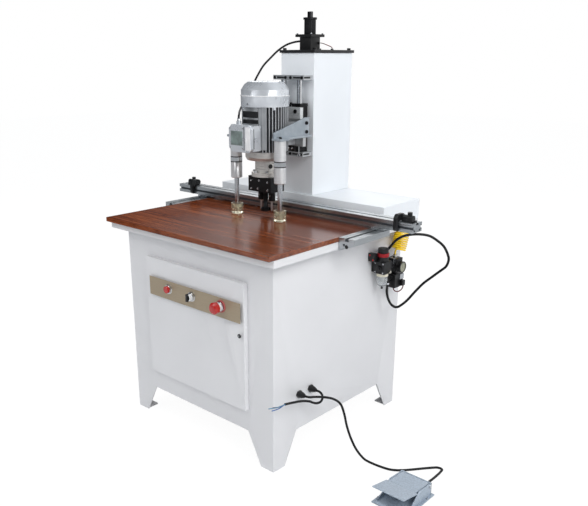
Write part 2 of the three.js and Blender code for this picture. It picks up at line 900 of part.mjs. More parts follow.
function gearOutline(cx, cy, turn) {
  const points = [];
  const pitchHalf = Math.PI / (2 * gearTeeth) - gearBacklash / (2 * gearPitch);
  for (let i = 0; i < gearTeeth; i += 1) {
    const a = turn + (i / gearTeeth) * 2 * Math.PI;
    const flank = [
      [gearRoot, a - 1.35 * pitchHalf], [gearPitch, a - pitchHalf], [gearTip, a - 0.45 * pitchHalf],
      [gearTip, a + 0.45 * pitchHalf], [gearPitch, a + pitchHalf], [gearRoot, a + 1.35 * pitchHalf],
    ];
    flank.forEach(([r, t]) => points.push([cx + r * Math.cos(t), cy + r * Math.sin(t)]));
  }
  return points;
}

function makeGearHead() {
  const x = headWidth / 2;
  const body = block(-x, x, -headFrontReach, headRearReach, headBase, headTop);
  const spots = [[0, 0], [-sideSpindleX, sideSpindleY], [sideSpindleX, sideSpindleY]];
  const rooms = spots.map(([cx, cy]) => round(gearTip + fit, 'z', gearBase - fit, cavityTop, cx, cy, midRound));
  const bores = spots.map(([cx, cy]) => (
    round(spindleRadius + fit, 'z', headBase - overrun, cavityTop + pilotLength, cx, cy, rodRound)
  ));
  const drive = round(spindleRadius + fit, 'z', headBase - overrun, headTop + overrun, 0, 0, rodRound);
  return cut(body, ...rooms, ...bores, drive);
}

function setScrew(cx, cy, radius, level) {
  return round(setScrewRadius, 'y', cy - radius - overrun, cy - radius / 2, cx, level, smallRound);
}

function makeCentreSpindle() {
  const top = shieldBase - couplingDrop - couplingHeight - fit;
  const chuckTop = headBase - fit;
  const chuckBase = chuckTop - centreChuckLength;
  const shaft = round(spindleRadius, 'z', chuckBase, top, 0, 0, rodRound);
  const gear = pull(gearOutline(0, 0, Math.atan2(sideSpindleY, sideSpindleX)), 'z', gearBase, gearTop);
  const chuck = round(centreChuckRadius, 'z', chuckBase, chuckTop, 0, 0, rodRound);
  return cut(join(shaft, gear, chuck), setScrew(0, 0, centreChuckRadius, chuckBase + centreChuckLength / 2));
}

function makeSideSpindle(side) {
  const cx = side * sideSpindleX;
  const cy = sideSpindleY;
  const chuckTop = headBase - fit;
  const chuckBase = chuckTop - sideChuckLength;
  const shaft = round(spindleRadius, 'z', chuckBase, cavityTop + pilotLength - fit, cx, cy, rodRound);
  const towards = Math.atan2(-cy, -cx);
  const phase = towards + Math.PI / gearTeeth + meshTurn(side);
  const gear = pull(gearOutline(cx, cy, phase), 'z', gearBase, gearTop);
  const chuck = round(sideChuckRadius, 'z', chuckBase, chuckTop, cx, cy, rodRound);
  return cut(join(shaft, gear, chuck), setScrew(cx, cy, sideChuckRadius, chuckBase + sideChuckLength / 2));
}

// A tooth of the centre gear points at the right-hand gear; the left-hand one takes up the difference.
function meshTurn(side) {
  if (side > 0) {
    return 0;
  }
  const toRight = Math.atan2(sideSpindleY, sideSpindleX);
  const toLeft = Math.atan2(sideSpindleY, -sideSpindleX);
  const tooth = (2 * Math.PI) / gearTeeth;
  const off = ((toLeft - toRight) % tooth + tooth) % tooth;
  return off;
}

const chuckTip = headBase - fit - centreChuckLength;

function makeCupCutter() {
  const tip = headBase - cupDrop;
  const headTopZ = tip + cupHeadHeight;
  const profile = [
    [0, tip - cupSpike], [cupSpike, tip], [cupRadius, tip], [cupRadius, headTopZ - cupSpike],
    [cupRadius - cupSpike, headTopZ], [cupShankRadius, headTopZ + cupSpike], [cupShankRadius, chuckTip - fit],
    [0, chuckTip - fit],
  ];
  const body = turned(profile, 'z', 0, 0, midRound);
  const gullets = [0, 1].map((n) => {
    const wedge = new THREE.BoxGeometry(cupRadius, cupGullet, cupHeadHeight + 4 * cupSpike);
    wedge.translate(cupRadius * 0.95, cupGullet / 2, tip + cupHeadHeight / 2);
    wedge.rotateZ(n * Math.PI);
    return solid(wedge);
  });
  return cut(body, ...gullets);
}

function makeSideBit(side) {
  const cx = side * sideSpindleX;
  const tip = headBase - sideBitDrop;
  const top = headBase - fit - sideChuckLength - fit;
  const shank = turned(
    [[0, tip - sideBitRadius / 2], [sideBitRadius, tip], [sideBitRadius, top], [0, top]],
    'z', cx, sideSpindleY, smallRound,
  );
  const flutes = [-1, 1].map((n) => (
    round(
      sideBitFlute, 'z', tip - sideBitRadius - overrun, top - sideBitRadius,
      cx + n * (sideBitRadius + sideBitFlute / 3), sideSpindleY, smallRound,
    )
  ));
  return cut(shank, ...flutes);
}

piece('gear_head', makeGearHead(), blackOxide);
piece('centre_spindle', makeCentreSpindle(), milledSteel);
piece('side_spindle_left', makeSideSpindle(-1), milledSteel);
piece('side_spindle_right', makeSideSpindle(1), milledSteel);
piece('cup_cutter', makeCupCutter(), blackOxide);
piece('side_bit_left', makeSideBit(-1), milledSteel);
piece('side_bit_right', makeSideBit(1), milledSteel);

// Hold-down clamps
const footBase = tableHeight + fit;
const footTop = footBase + clampFootHeight;
const clampTop = carriageBase + armRidge - fit;
const clampBase = clampTop - clampLength;
const armFloor = clampTop + fit;

function makeClampArm(side) {
  const inner = carriageWidth / 2 + fit;
  const nose = clampY - armNoseReach;
  const rear = carriageBack + armRearLap / 2;
  const ridge = armFloor + armFlange;
  const web = [
    [nose, armFloor], [rear, armFloor], [rear, armFloor + armRearHeight],
    [rear - armRearLap, armFloor + armRearHeight], [nose, armFloor + armFlange + armNoseHeight],
  ];
  const padReachOut = clampRadius + armPadMargin;
  const sheet = [
    [inner, nose - armPadMargin], [inner, rear], [inner + armShelf, rear], [inner + armShelf, clampY + padReachOut],
    [clampX + padReachOut, clampY + padReachOut], [clampX + padReachOut, clampY - padReachOut],
    [inner + armPadMargin, clampY - padReachOut],
  ];
  const upright = pull(web, 'x', side > 0 ? inner : -inner - armWeb, side > 0 ? inner + armWeb : -inner);
  const shelf = pull(side > 0 ? sheet : mirrored(sheet), 'z', armFloor, ridge);
  return join(upright, shelf);
}

function makeClampCylinder(side) {
  const cx = side * clampX;
  const profile = [[0, clampBase], [clampRadius - armPadMargin, clampBase], [clampRadius, clampBase + armPadMargin]];
  const level = clampTop - clampGrooveDrop;
  profile.push([clampRadius, level - clampGroove / 2], [clampRadius - clampGrooveDepth, level - clampGroove / 2]);
  profile.push([clampRadius - clampGrooveDepth, level + clampGroove / 2], [clampRadius, level + clampGroove / 2]);
  profile.push([clampRadius, clampTop], [0, clampTop]);
  const tube = turned(profile, 'z', cx, clampY, midRound);
  const bore = round(clampBore, 'z', clampBase + clampWall, clampTop - clampWall, cx, clampY, midRound);
  const gland = round(clampRodRadius + fit, 'z', clampBase - overrun, clampBase + 2 * clampWall, cx, clampY, rodRound);
  return cut(tube, bore, gland);
}

function makeClampRod(side) {
  const cx = side * clampX;
  const nutBaseZ = footBase + clampFootFloor + fit;
  const pistonBase = clampBase + clampWall + fit;
  const profile = [
    [0, nutBaseZ], [clampNutRadius, nutBaseZ], [clampNutRadius, nutBaseZ + clampNutHeight],
    [clampRodRadius, nutBaseZ + clampNutHeight], [clampRodRadius, pistonBase], [clampBore - fit, pistonBase],
    [clampBore - fit, pistonBase + clampPistonLength], [0, pistonBase + clampPistonLength],
  ];
  return turned(profile, 'z', cx, clampY, rodRound);
}

function makeClampFoot(side) {
  const cx = side * clampX;
  const inner = clampFootRadius - clampFootWall;
  const profile = [
    [0, footBase], [clampFootRadius - armPadMargin, footBase], [clampFootRadius, footBase + armPadMargin],
    [clampFootRadius, footTop], [inner, footTop], [inner, footBase + clampFootFloor + clampNutHeight],
    [clampNutRadius + fit, footBase + clampFootFloor + clampNutHeight],
    [clampNutRadius + fit, footBase + clampFootFloor], [0, footBase + clampFootFloor],
  ];
  return turned(profile, 'z', cx, clampY, midRound);
}

for (const [side, name] of [[-1, 'left'], [1, 'right']]) {
  piece(`clamp_arm_${name}`, makeClampArm(side), castAlloy);
  piece(`clamp_cylinder_${name}`, makeClampCylinder(side), groundSteel);
  piece(`clamp_rod_${name}`, makeClampRod(side), groundSteel);
  piece(`clamp_foot_${name}`, makeClampFoot(side), yellowRubber);
}

// Fence and its side bars
const barInner = boardWidth / 2 + 1.5 * fit;
const barOuter = barInner + barWidth;
const barSlotX = (barInner + barOuter) / 2;
const fenceBase = tableHeight + fenceLift;
const fenceTop = fenceBase + fenceHeight;
const fenceFront = fenceSetback;
const fenceRear = fenceFront + fenceDepth;

// Points of a T-slot cut inwards from an edge at "level", centred on "mid".
function teeSlot(mid, level, inward, mouth, inner, lip, room) {
  return [
    [mid - mouth / 2, level], [mid - mouth / 2, level + inward * lip], [mid - inner / 2, level + inward * lip],
    [mid - inner / 2, level + inward * (lip + room)], [mid + inner / 2, level + inward * (lip + room)],
    [mid + inner / 2, level + inward * lip], [mid + mouth / 2, level + inward * lip], [mid + mouth / 2, level],
  ];
}

function makeSideBar(side) {
  const topSlot = teeSlot(barSlotX, tableHeight, -1, barSlotWidth, barSlotInner, barSlotLip, barSlotRoom);
  const outline = [
    [barInner, tableHeight - barWebHeight], [barOuter, tableHeight - barThickness], [barOuter, tableHeight],
    ...[...topSlot].reverse(), [barInner, tableHeight],
  ];
  const bar = pull(side > 0 ? outline : mirrored(outline), 'y', barFront, barRear);
  const bore = round(
    barBoreRadius, 'y', barFront - overrun, barFront + barThickness,
    side * (barInner + barWidth / 3), tableHeight - 1.1 * barThickness, smallRound,
  );
  return cut(bar, bore);
}

function makeFence() {
  const x = fenceLength / 2;
  const midY = (fenceFront + fenceRear) / 2;
  const midZ = (fenceBase + fenceTop) / 2;
  const turn = (points) => points.map(([a, b]) => [b, a]);
  const front = turn(teeSlot(midZ, fenceFront, 1, slotMouth, slotInner, slotLip, slotRoom));
  const rear = turn(teeSlot(midZ, fenceRear, -1, slotMouth, slotInner, slotLip, slotRoom));
  const top = teeSlot(midY, fenceTop, -1, slotMouth, slotInner, slotLip, slotRoom);
  const outline = [
    [fenceFront, fenceBase], [fenceRear, fenceBase], ...rear, [fenceRear, fenceTop],
    ...[...top].reverse(), [fenceFront, fenceTop], ...[...front].reverse(),
  ];
  const beam = pull(outline, 'x', -x, x);
  const bores = [[fenceFront + fenceBoreInset, 0], [fenceRear - fenceBoreInset, 0]].map(([y]) => (
    round(fenceBoreRadius, 'x', -x - overrun, x + overrun, y, fenceBase + fenceHeight / 5, smallRound)
  ));
  const shoes = [-1, 1].map((side) => {
    const mid = side * barSlotX;
    const plate = block(
      mid - shoeWidth / 2, mid + shoeWidth / 2, fenceFront + shoeNose, fenceRear - shoeNose,
      tableHeight + fit, fenceBase,
    );
    const tongue = block(
      mid - barSlotWidth / 2 + fit, mid + barSlotWidth / 2 - fit, fenceFront + shoeNose,
      fenceFront + shoeNose + tongueLength, tableHeight - tongueDepth, tableHeight + fit,
    );
    return join(plate, tongue);
  });
  return cut(join(beam, ...shoes), ...bores);
}

// Each stop sits outboard of its own flip arm; "side" is -1 on the left and 1 on the right.
function span(side, from, to) {
  return side > 0 ? [from, to] : [-to, -from];
}

const stopAxisY = fenceFront + stopAxisInset;
const stopAxisZ = fenceTop + fit + stopBodyHeight + stopBarrelRadius / 2;

function makeStopSlide(side, inner) {
  const midY = (fenceFront + fenceRear) / 2;
  const base = fenceTop + fit;
  const [left, right] = span(side, inner + stopArmThickness + fit, inner + stopArmThickness + fit + stopBodyLength);
  const [barrelLeft, barrelRight] = span(side, inner - fit, inner + stopArmThickness + stopBodyLength);
  const knobX = side * (inner + stopArmThickness + stopBodyLength - 1.6 * stopKnobRadius);
  const knobBase = stopAxisZ + stopBarrelRadius / 2 + stopKnobNeck;
  const foot = block(left, right, midY - stopBodyDepth / 2, midY + stopBodyDepth / 2, base, base + stopBodyHeight);
  const tee = block(
    left, right, midY - slotMouth / 2 + fit, midY + slotMouth / 2 - fit, fenceTop - slotLip, base + fit,
  );
  const barrel = round(stopBarrelRadius, 'x', barrelLeft, barrelRight, stopAxisY, stopAxisZ, rodRound);
  const saddle = block(
    left, right, stopAxisY - stopBarrelRadius, midY + stopBarrelRadius, base, stopAxisZ + stopBarrelRadius / 2,
  );
  const stud = round(stopKnobRadius / 2, 'z', base, knobBase + fit, knobX, midY, smallRound);
  const knob = pull(
    ribbedOutline(stopKnobRadius, stopKnobRadius / 9, smallRound, knobX, midY),
    'z', knobBase, knobBase + stopKnobHeight,
  );
  return join(foot, tee, barrel, saddle, stud, knob);
}

function makeStopArm(side, inner) {
  const [left, right] = span(side, inner, inner + stopArmThickness);
  const hub = round(stopHubRadius, 'x', left, right, stopAxisY, stopAxisZ, midRound);
  const back = fenceFront - stopArmClearance;
  const front = back - stopArmWidth;
  const bottom = fenceBase + stopArmClearance;
  const top = stopAxisZ + stopHubRadius;
  const corner = stopArmWidth / 2;
  const hook = [
    [stopAxisY, top], [front + 1.6 * corner, top], [front + corner / 2, top - corner], [front, top - 2 * corner],
    [front, bottom + corner], [front + corner, bottom], [back - corner / 3, bottom], [back, bottom + corner],
    [back, stopAxisZ - stopHubRadius + stopArmClearance], [stopAxisY, stopAxisZ - stopHubRadius + stopArmClearance],
  ];
  const bore = round(
    stopBarrelRadius + fit, 'x', left - overrun, right + overrun, stopAxisY, stopAxisZ, midRound,
  );
  return cut(join(hub, pull(hook, 'x', left, right)), bore);
}

piece('side_bar_left', makeSideBar(-1), extrudedAlloy);
piece('side_bar_right', makeSideBar(1), extrudedAlloy);
piece('fence_beam', makeFence(), extrudedAlloy);
for (const [side, inner, name] of [[-1, leftStopInner, 'left'], [1, rightStopInner, 'right']]) {
  piece(`stop_slide_${name}`, makeStopSlide(side, inner), blackPaint);
  piece(`stop_arm_${name}`, makeStopArm(side, inner), blackPaint);
}

// Door and switches
const doorBack = -cabinetDepth / 2 - fit;
const doorFront = doorBack - doorDepth;
const doorTop = doorFloor + doorHeight;

function ring(outer, inner, from, to, x, z) {
  const tube = round(outer, 'y', from, to, x, z, midRound);
  return cut(tube, round(inner, 'y', from - overrun, to + overrun, x, z, midRound));
}

function makeDoor() {
  const s = doorSheet;
  const pan = cut(
    block(doorLeft, doorRight, doorFront, doorBack, doorFloor, doorTop),
    block(doorLeft + s, doorRight - s, doorFront + s, doorBack + overrun, doorFloor + s, doorTop - s),
  );
  const places = [buttonX, selectorX, stopSwitchX];
  const holes = places.map((x) => (
    round(stemRadius + fit, 'y', doorFront - overrun, doorFront + s + overrun, x, switchHeight, rodRound)
  ));
  const bezels = places.map((x) => ring(bezelRadius, bezelBore, doorFront - bezelHeight, doorFront, x, switchHeight));
  return join(cut(pan, ...holes), ...bezels);
}

function makeButton() {
  const tip = doorFront - buttonRise;
  const back = doorFront - buttonTravel - 2 * fit;
  const cap = turned(
    [[0, tip], [buttonRadius - 1.5, tip], [buttonRadius, tip + 1.5], [buttonRadius, back], [0, back]],
    'y', buttonX, switchHeight, midRound,
  );
  const stem = round(stemRadius, 'y', back, doorFront + stemBack, buttonX, switchHeight, rodRound);
  return join(cap, stem);
}

function makeSelector() {
  const back = doorFront - fit;
  const mid = doorFront - bezelHeight - fit;
  const tip = doorFront - selectorRise;
  const disc = round(buttonRadius, 'y', mid - selectorGrip / 2, back, selectorX, switchHeight, midRound);
  const grip = [
    [selectorX - selectorGrip / 2, switchHeight - buttonRadius], [selectorX + selectorGrip / 2, switchHeight - buttonRadius],
    [selectorX + selectorGrip / 2, switchHeight + buttonRadius], [selectorX, switchHeight + 1.15 * buttonRadius],
    [selectorX - selectorGrip / 2, switchHeight + buttonRadius],
  ];
  const stem = round(stemRadius, 'y', back, doorFront + stemBack, selectorX, switchHeight, rodRound);
  return join(disc, pull(grip, 'y', tip, mid), stem);
}

function makeMushroom() {
  const tip = doorFront - mushroomRise;
  const headBack = tip + mushroomHead;
  const back = doorFront - mushroomTravel - 2 * fit;
  const profile = [
    [0, tip], [mushroomRadius * 0.7, tip + 1], [mushroomRadius, tip + mushroomHead * 0.35],
    [mushroomRadius * 0.95, headBack], [mushroomNeck, headBack], [mushroomNeck, back], [stemRadius, back],
    [stemRadius, doorFront + stemBack], [0, doorFront + stemBack],
  ];
  return turned(profile, 'y', stopSwitchX, switchHeight, midRound);
}

piece('door', makeDoor(), whitePaint);
piece('push_button', makeButton(), redPlastic);
piece('selector_switch', makeSelector(), blackPlastic);
piece('emergency_stop', makeMushroom(), redPlastic);

// Air preparation unit
const panelFace = cabinetWidth / 2;

function makeFilter() {
  const half = filterSide / 2;
  const top = filterBase + filterHeight;
  const head = block(unitX - half, unitX + half, filterY - half, filterY + half, filterBase, top);
  const bracket = block(panelFace + fit, unitX - half, filterY - unitBracket, filterY + unitBracket, filterBase, top);
  const bowl = turned(
    [
      [0, filterBase - bowlHeight], [bowlRadius / 3, filterBase - bowlHeight],
      [bowlRadius * 0.85, filterBase - bowlHeight * 0.85], [bowlRadius, filterBase - bowlHeight / 2],
      [bowlRadius, filterBase], [0, filterBase],
    ],
    'z', unitX, filterY, midRound,
  );
  const collar = round(collarRadius, 'z', top, top + collarHeight, unitX, filterY, midRound);
  const port = round(portRadius, 'y', filterY - half - portLength, filterY, unitX, filterBase + filterHeight / 2, smallRound);
  return join(head, bracket, bowl, collar, port);
}

function makeAirKnob() {
  const base = filterBase + filterHeight + collarHeight + fit;
  const outline = ribbedOutline(airKnobRadius, airKnobRibDepth, airKnobRibs, unitX, filterY);
  return pull(outline, 'z', base, base + airKnobHeight);
}

function makeRegulator() {
  const half = regulatorWidth / 2;
  const top = regulatorBase + regulatorHeight;
  const body = block(unitX - half, unitX + half, regulatorY - half, regulatorY + half, regulatorBase, top);
  const link = block(
    unitX - unitLink, unitX + unitLink, filterY + filterSide / 2 + fit, regulatorY - half,
    filterBase + unitLink, filterBase + filterHeight - unitLink,
  );
  const neck = round(unitLink, 'z', regulatorBase - valveNeck, regulatorBase, unitX, regulatorY, smallRound);
  const valveTop = regulatorBase - valveNeck;
  const valve = block(
    unitX - valveDepth / 2, unitX + valveDepth / 2, regulatorY - valveWidth / 2, regulatorY + valveWidth / 2,
    valveTop - valveHeight, valveTop,
  );
  const gauge = round(gaugeRadius, 'x', unitX + half, unitX + half + gaugeDepth, regulatorY, gaugeHeight, midRound);
  const nipple = round(nippleRadius, 'z', top, top + nippleHeight, unitX, regulatorY, smallRound);
  const elbowY = regulatorY - valveWidth / 2 - elbowReach;
  const elbow = round(elbowRadius, 'z', elbowBase, elbowBase + elbowHeight, unitX, elbowY, smallRound);
  const spigot = round(
    elbowRadius, 'y', elbowY, regulatorY - valveWidth / 2, unitX, elbowBase + elbowHeight - elbowRadius, smallRound,
  );
  return join(body, link, neck, valve, gauge, nipple, elbow, spigot);
}

piece('air_filter', makeFilter(), blackPlastic);
piece('regulator_knob', makeAirKnob(), blackPlastic);
piece('air_regulator', makeRegulator(), blackPlastic);

// Cable glands
function makeGland(y) {
  const x = panelFace + fit;
  const hex = ribbedOutline(glandHexRadius, 0, 3, y, glandHeight);
  const collar = pull(hex, 'x', x, x + glandHexLength);
  const dome = turned(
    [
      [0, x + glandHexLength], [glandDomeRadius, x + glandHexLength],
      [glandDomeRadius, x + glandHexLength + glandDomeLength / 3],
      [glandTipRadius, x + glandHexLength + glandDomeLength], [0, x + glandHexLength + glandDomeLength],
    ],
    'x', y, glandHeight, rodRound,
  );
  const thread = round(glandThreadRadius, 'x', x - glandInner, x, y, glandHeight, rodRound);
  return join(collar, dome, thread);
}

piece('gland_pedal', makeGland(pedalGlandY), blackPlastic);
piece('gland_mains', makeGland(mainsGlandY), blackPlastic);

// Foot switch
const pivotY = pedalRear - treadlePivotInset;
const pivotZ = pedalHeight - treadlePivotInset / 2;

function makePedalBase() {
  const x = pedalWidth / 2;
  const side = [
    [pedalFront, 0], [pedalRear, 0], [pedalRear, pedalHeight], [pivotY - treadlePivotInset, pedalHeight],
    [pedalFront, pedalHeight / 4],
  ];
  const body = pull(side, 'x', pedalX - x, pedalX + x);
  const room = block(
    pedalX - x + pedalWall, pedalX + x - pedalWall, pedalFront + pedalWall, pedalRear - pedalWall,
    pedalFloor, pedalHeight + overrun,
  );
  const pinBores = round(
    treadlePinRadius + fit, 'x', pedalX - x + pedalWall / 2, pedalX + x - pedalWall / 2, pivotY, pivotZ, smallRound,
  );
  const lip = block(pedalX - x - pedalWall, pedalX + x + pedalWall, pedalFront, pedalRear, 0, pedalFloor);
  return join(cut(body, room, pinBores), cut(lip, block(pedalX - x, pedalX + x, pedalFront, pedalRear, -1, pedalFloor + 1)));
}

function makeTreadle() {
  const x = treadleWidth / 2;
  const nose = pedalFront + treadleNose;
  const top = treadleHeight;
  const t = treadleThickness;
  const rise = treadleArch;
  const back = pivotY + 2 * treadlePinRadius;
  const bend = nose + treadleFlat;
  const low = pivotZ - 1.6 * treadlePinRadius;
  const outline = [
    [nose, top - t], [bend + t / 2, top - t], [bend + rise, top + 0.55 * rise - t], [back - 1.4 * rise, top + rise - t],
    [back - 0.6 * rise, top + 0.6 * rise - t], [back - t, top - t], [back - t, low], [back, low],
    [back, top], [back - 0.4 * rise, top + 0.75 * rise], [back - 1.4 * rise, top + rise],
    [bend + 0.9 * rise, top + 0.6 * rise], [bend, top], [nose, top],
  ];
  const plate = pull(outline, 'x', pedalX - x, pedalX + x);
  const pinEnd = (pedalWidth - pedalWall) / 2 - fit;
  const pin = round(treadlePinRadius, 'x', pedalX - pinEnd, pedalX + pinEnd, pivotY, pivotZ, smallRound);
  const cheek = [
    [pivotY - 1.6 * treadlePinRadius, low], [back - t / 2, low], [back - t / 2, top],
    [back - 1.4 * rise, top + 0.8 * rise], [bend + 0.8 * rise, top + 0.4 * rise], [bend, top - t / 2],
    [bend, top - 2 * t], [pivotY - 1.6 * treadlePinRadius, pivotZ + 2 * treadlePinRadius],
  ];
  const cheeks = [-1, 1].map((s) => {
    const [a, b] = [pedalX + s * (x - treadleLugThickness), pedalX + s * x].sort((p, q) => p - q);
    return pull(cheek, 'x', a, b);
  });
  return join(plate, pin, ...cheeks);
}

piece('pedal_base', makePedalBase(), greyCasting);
piece('treadle', makeTreadle(), greyCasting);

// Cords and hoses
function after(point, dx, dy, dz) {
  return [point[0] + dx, point[1] + dy, point[2] + dz];
}

function tube(points, radius, sides, steps) {
  const curve = new THREE.CatmullRomCurve3(points.map((p) => new THREE.Vector3(...p)), false, 'centripetal');
  curve.arcLengthDivisions = 20 * points.length;
  const section = new THREE.Shape();
  for (let i = 0; i <= sides; i += 1) {
    const a = (i / sides) * 2 * Math.PI;
    const [u, v] = [radius * Math.cos(a), radius * Math.sin(a)];
    if (i) {
      section.lineTo(u, v);
    } else {
      section.moveTo(u, v);
    }
  }
  return solid(new THREE.ExtrudeGeometry(section, { steps, bevelEnabled: false, extrudePath: curve }));
}

const motorCordStart = [terminalBossX, -padReach - fit - (terminalDepth - lidDepth) / 2, terminalTop + terminalBossHeight + fit];
const motorCordEnd = [-switchBoxSide / 2 - fit, feedRodY, switchBoxBase + 0.7 * switchBoxHeight];
const motorCordRoute = [
  motorCordStart, after(motorCordStart, 0, 0, 2 * motorCordRadius),
  [-52, -76, 1122], [-78, -48, 1128], [-97, -16, 1146], [-111, 24, 1178], [-122, 64, 1212],
  [-131, 100, 1246], [-135, 136, 1280], [-130, 168, 1306], [-118, 196, 1332], [-98, 220, 1352],
  [-68, 234, 1362], after(motorCordEnd, -2 * motorCordRadius, 0, 0), motorCordEnd,
];

const glandTip = panelFace + fit + glandHexLength + glandDomeLength + fit;
const pedalCordStart = [glandTip, pedalGlandY, glandHeight];
const pedalCordEnd = [pedalX + pedalWidth / 4, pedalRear + fit, pedalHeight / 2];
const floorLevel = cordRadius + fit;
const pedalCordRoute = [
  pedalCordStart, after(pedalCordStart, 2 * cordRadius, 0, 0),
  [410, -207, 241.5], [428, -190, 241], [444, -176, 239], [460, -162, 233], [475, -148, 217],
  [485, -139, 182], [493, -132, 135], [505, -122, 87], [522, -107, 40], [545, -93, 10], [570, -88, floorLevel],
  [605, -84, floorLevel], [645, -70, floorLevel], [684, -42, floorLevel], [722, -8, floorLevel],
  [752, 12, floorLevel], [772, 12, floorLevel], [783, -2, 6], [786, -28, 12], [785, -56, 18],
  after(pedalCordEnd, 0, 4 * cordRadius, 0), pedalCordEnd,
];

const mainsCordStart = [glandTip, mainsGlandY, glandHeight];
const mainsCordRoute = [
  mainsCordStart, after(mainsCordStart, 2 * cordRadius, 0, 0),
  [407, -164, 238], [413, -165, 228], [416, -173, 218], [413, -187, 213], [406, -201, 216],
  [401, -214, 224], [398, -228, 230], [397, -247, 237], [398, -272, 245], [399, -304, 253], [400, -338, 261],
];

const airHoseStart = [unitX, regulatorY - valveWidth / 2 - elbowReach, elbowBase - fit];
const airHoseEnd = [panelFace + fit, filterY + 28, filterBase + 71];
const airHoseRoute = [
  airHoseStart, after(airHoseStart, 0, 0, -2 * hoseRadius),
  [404, 205, 505], [409, 210, 476], [419, 219, 454], [432, 230, 446], [446, 243, 456], [461, 257, 475],
  [477, 272, 502], [500, 293, 537], [520, 311, 559], [542, 331, 583], [556, 344, 599], [562, 349, 624],
  [558, 346, 645], [546, 335, 674], [529, 319, 694], [508, 300, 711], [483, 277, 717], [459, 255, 716],
  [439, 237, 710], [420, 220, 694], [406, 211, 672], [390, 208, 655],
  after(airHoseEnd, 2 * hoseRadius, 0, 0), airHoseEnd,
];

// A coiled tube: straight leads, and between them curls that climb along a leaning axis.
function recoilPath() {
  const start = new THREE.Vector3(unitX, regulatorY, regulatorBase + regulatorHeight + nippleHeight + fit);
  const up = new THREE.Vector3(0, 0, 1);
  const axis = new THREE.Vector3(0, recoilLean, 1).normalize();
  const across = new THREE.Vector3(1, 0, 0);
  const along = new THREE.Vector3().crossVectors(axis, across);
  const foot = new THREE.Vector3(unitX, regulatorY + recoilRadius, start.z + recoilLead);
  const firstTurn = -1 / 6;
  const lastTurn = recoilCurls + 1 / 4;
  const at = (turn) => foot.clone()
    .addScaledVector(axis, recoilPitch * (turn - firstTurn))
    .addScaledVector(across, recoilRadius * Math.cos(2 * Math.PI * turn))
    .addScaledVector(along, recoilRadius * Math.sin(2 * Math.PI * turn));
  const heading = (turn) => at(turn + 0.01).sub(at(turn - 0.01)).normalize();
  const points = [start.clone()];
  const leadIn = start.clone().addScaledVector(up, 2 * recoilTube);
  bend(leadIn, up, at(firstTurn), heading(firstTurn), points);
  const count = Math.round((lastTurn - firstTurn) * recoilSteps);
  for (let i = 1; i < count; i += 1) {
    points.push(at(firstTurn + (i / count) * (lastTurn - firstTurn)));
  }
  const last = at(lastTurn);
  const wall = new THREE.Vector3(panelFace + fit, last.y, last.z);
  const leadOut = wall.clone().addScaledVector(across, 2 * recoilTube);
  bend(last, heading(lastTurn), leadOut, across.clone().negate(), points);
  points.push(wall);
  return points;
}

// A smooth bend between two places with known headings, in a few steps.
function bend(from, headingFrom, to, headingTo, points) {
  const pullLength = from.distanceTo(to) / 3;
  const curve = new THREE.CubicBezierCurve3(
    from, from.clone().addScaledVector(headingFrom, pullLength), to.clone().addScaledVector(headingTo, -pullLength), to,
  );
  for (let i = 0; i <= bendSteps; i += 1) {
    points.push(curve.getPoint(i / bendSteps));
  }
}

// A tube of flat-sided rings along a list of points, closed by a fan at each end.
function ringTube(points, radius, sides) {
  const positions = [];
  const index = [];
  const last = points.length - 1;
  const headings = points.map((p, i) => (
    points[Math.min(i + 1, last)].clone().sub(points[Math.max(i - 1, 0)]).normalize()
  ));
  const normal = new THREE.Vector3(1, 0, 0);
  if (Math.abs(headings[0].x) > Math.SQRT1_2) {
    normal.set(0, 1, 0);
  }
  points.forEach((p, i) => {
    normal.addScaledVector(headings[i], -normal.dot(headings[i])).normalize();
    const side = new THREE.Vector3().crossVectors(headings[i], normal);
    for (let k = 0; k < sides; k += 1) {
      const a = (k / sides) * 2 * Math.PI;
      const q = p.clone().addScaledVector(normal, radius * Math.cos(a)).addScaledVector(side, radius * Math.sin(a));
      positions.push(q.x, q.y, q.z);
    }
  });
  positions.push(...points[0].toArray(), ...points[last].toArray());
  const hub = points.length * sides;
  for (let k = 0; k < sides; k += 1) {
    const next = (k + 1) % sides;
    for (let i = 0; i < last; i += 1) {
      const [a, b, c, d] = [i * sides + k, i * sides + next, (i + 1) * sides + next, (i + 1) * sides + k];
      index.push(a, b, c, a, c, d);
    }
    index.push(hub, next, k, hub + 1, last * sides + k, last * sides + next);
  }
  const geometry = new THREE.BufferGeometry();
  geometry.setAttribute('position', new THREE.Float32BufferAttribute(positions, 3));
  geometry.setIndex(index);
  return solid(geometry);
}

function leastGap(points, radius, skip) {
  let least = Infinity;
  for (let i = 0; i < points.length; i += 1) {
    for (let j = i + skip; j < points.length; j += 1) {
      const next = Math.min(j + 1, points.length - 1);
      const segment = new THREE.Line3(points[j], points[next]);
      const near = segment.closestPointToPoint(points[i], true, new THREE.Vector3());
      least = Math.min(least, near.distanceTo(points[i]) - 2 * radius);
    }
  }
  return least;
}

const recoilPoints = recoilPath();
console.log(`recoil hose: least gap to itself ${leastGap(recoilPoints, recoilTube, recoilSteps / 2).toFixed(2)} mm`);

piece('motor_cable', tube(motorCordRoute, motorCordRadius, cordSides, 40), blackRubber, loose);
piece('pedal_cord', tube(pedalCordRoute, cordRadius, cordSides, 56), blackRubber, loose);
piece('mains_cord', tube(mainsCordRoute, cordRadius, cordSides, 28), blackRubber, loose);
piece('air_hose', tube(airHoseRoute, hoseRadius, cordSides, 50), blackRubber, loose);
piece('recoil_hose', ringTube(recoilPoints, recoilTube, recoilSides), yellowHose, loose);

// Origin
const footprint = new THREE.Box3().setFromObject(machine, true);
const middle = footprint.getCenter(new THREE.Vector3());
const part = new THREE.Group();
part.add(machine, loose);
part.position.set(-middle.x, -middle.y, 0);
part.updateMatrixWorld(true);

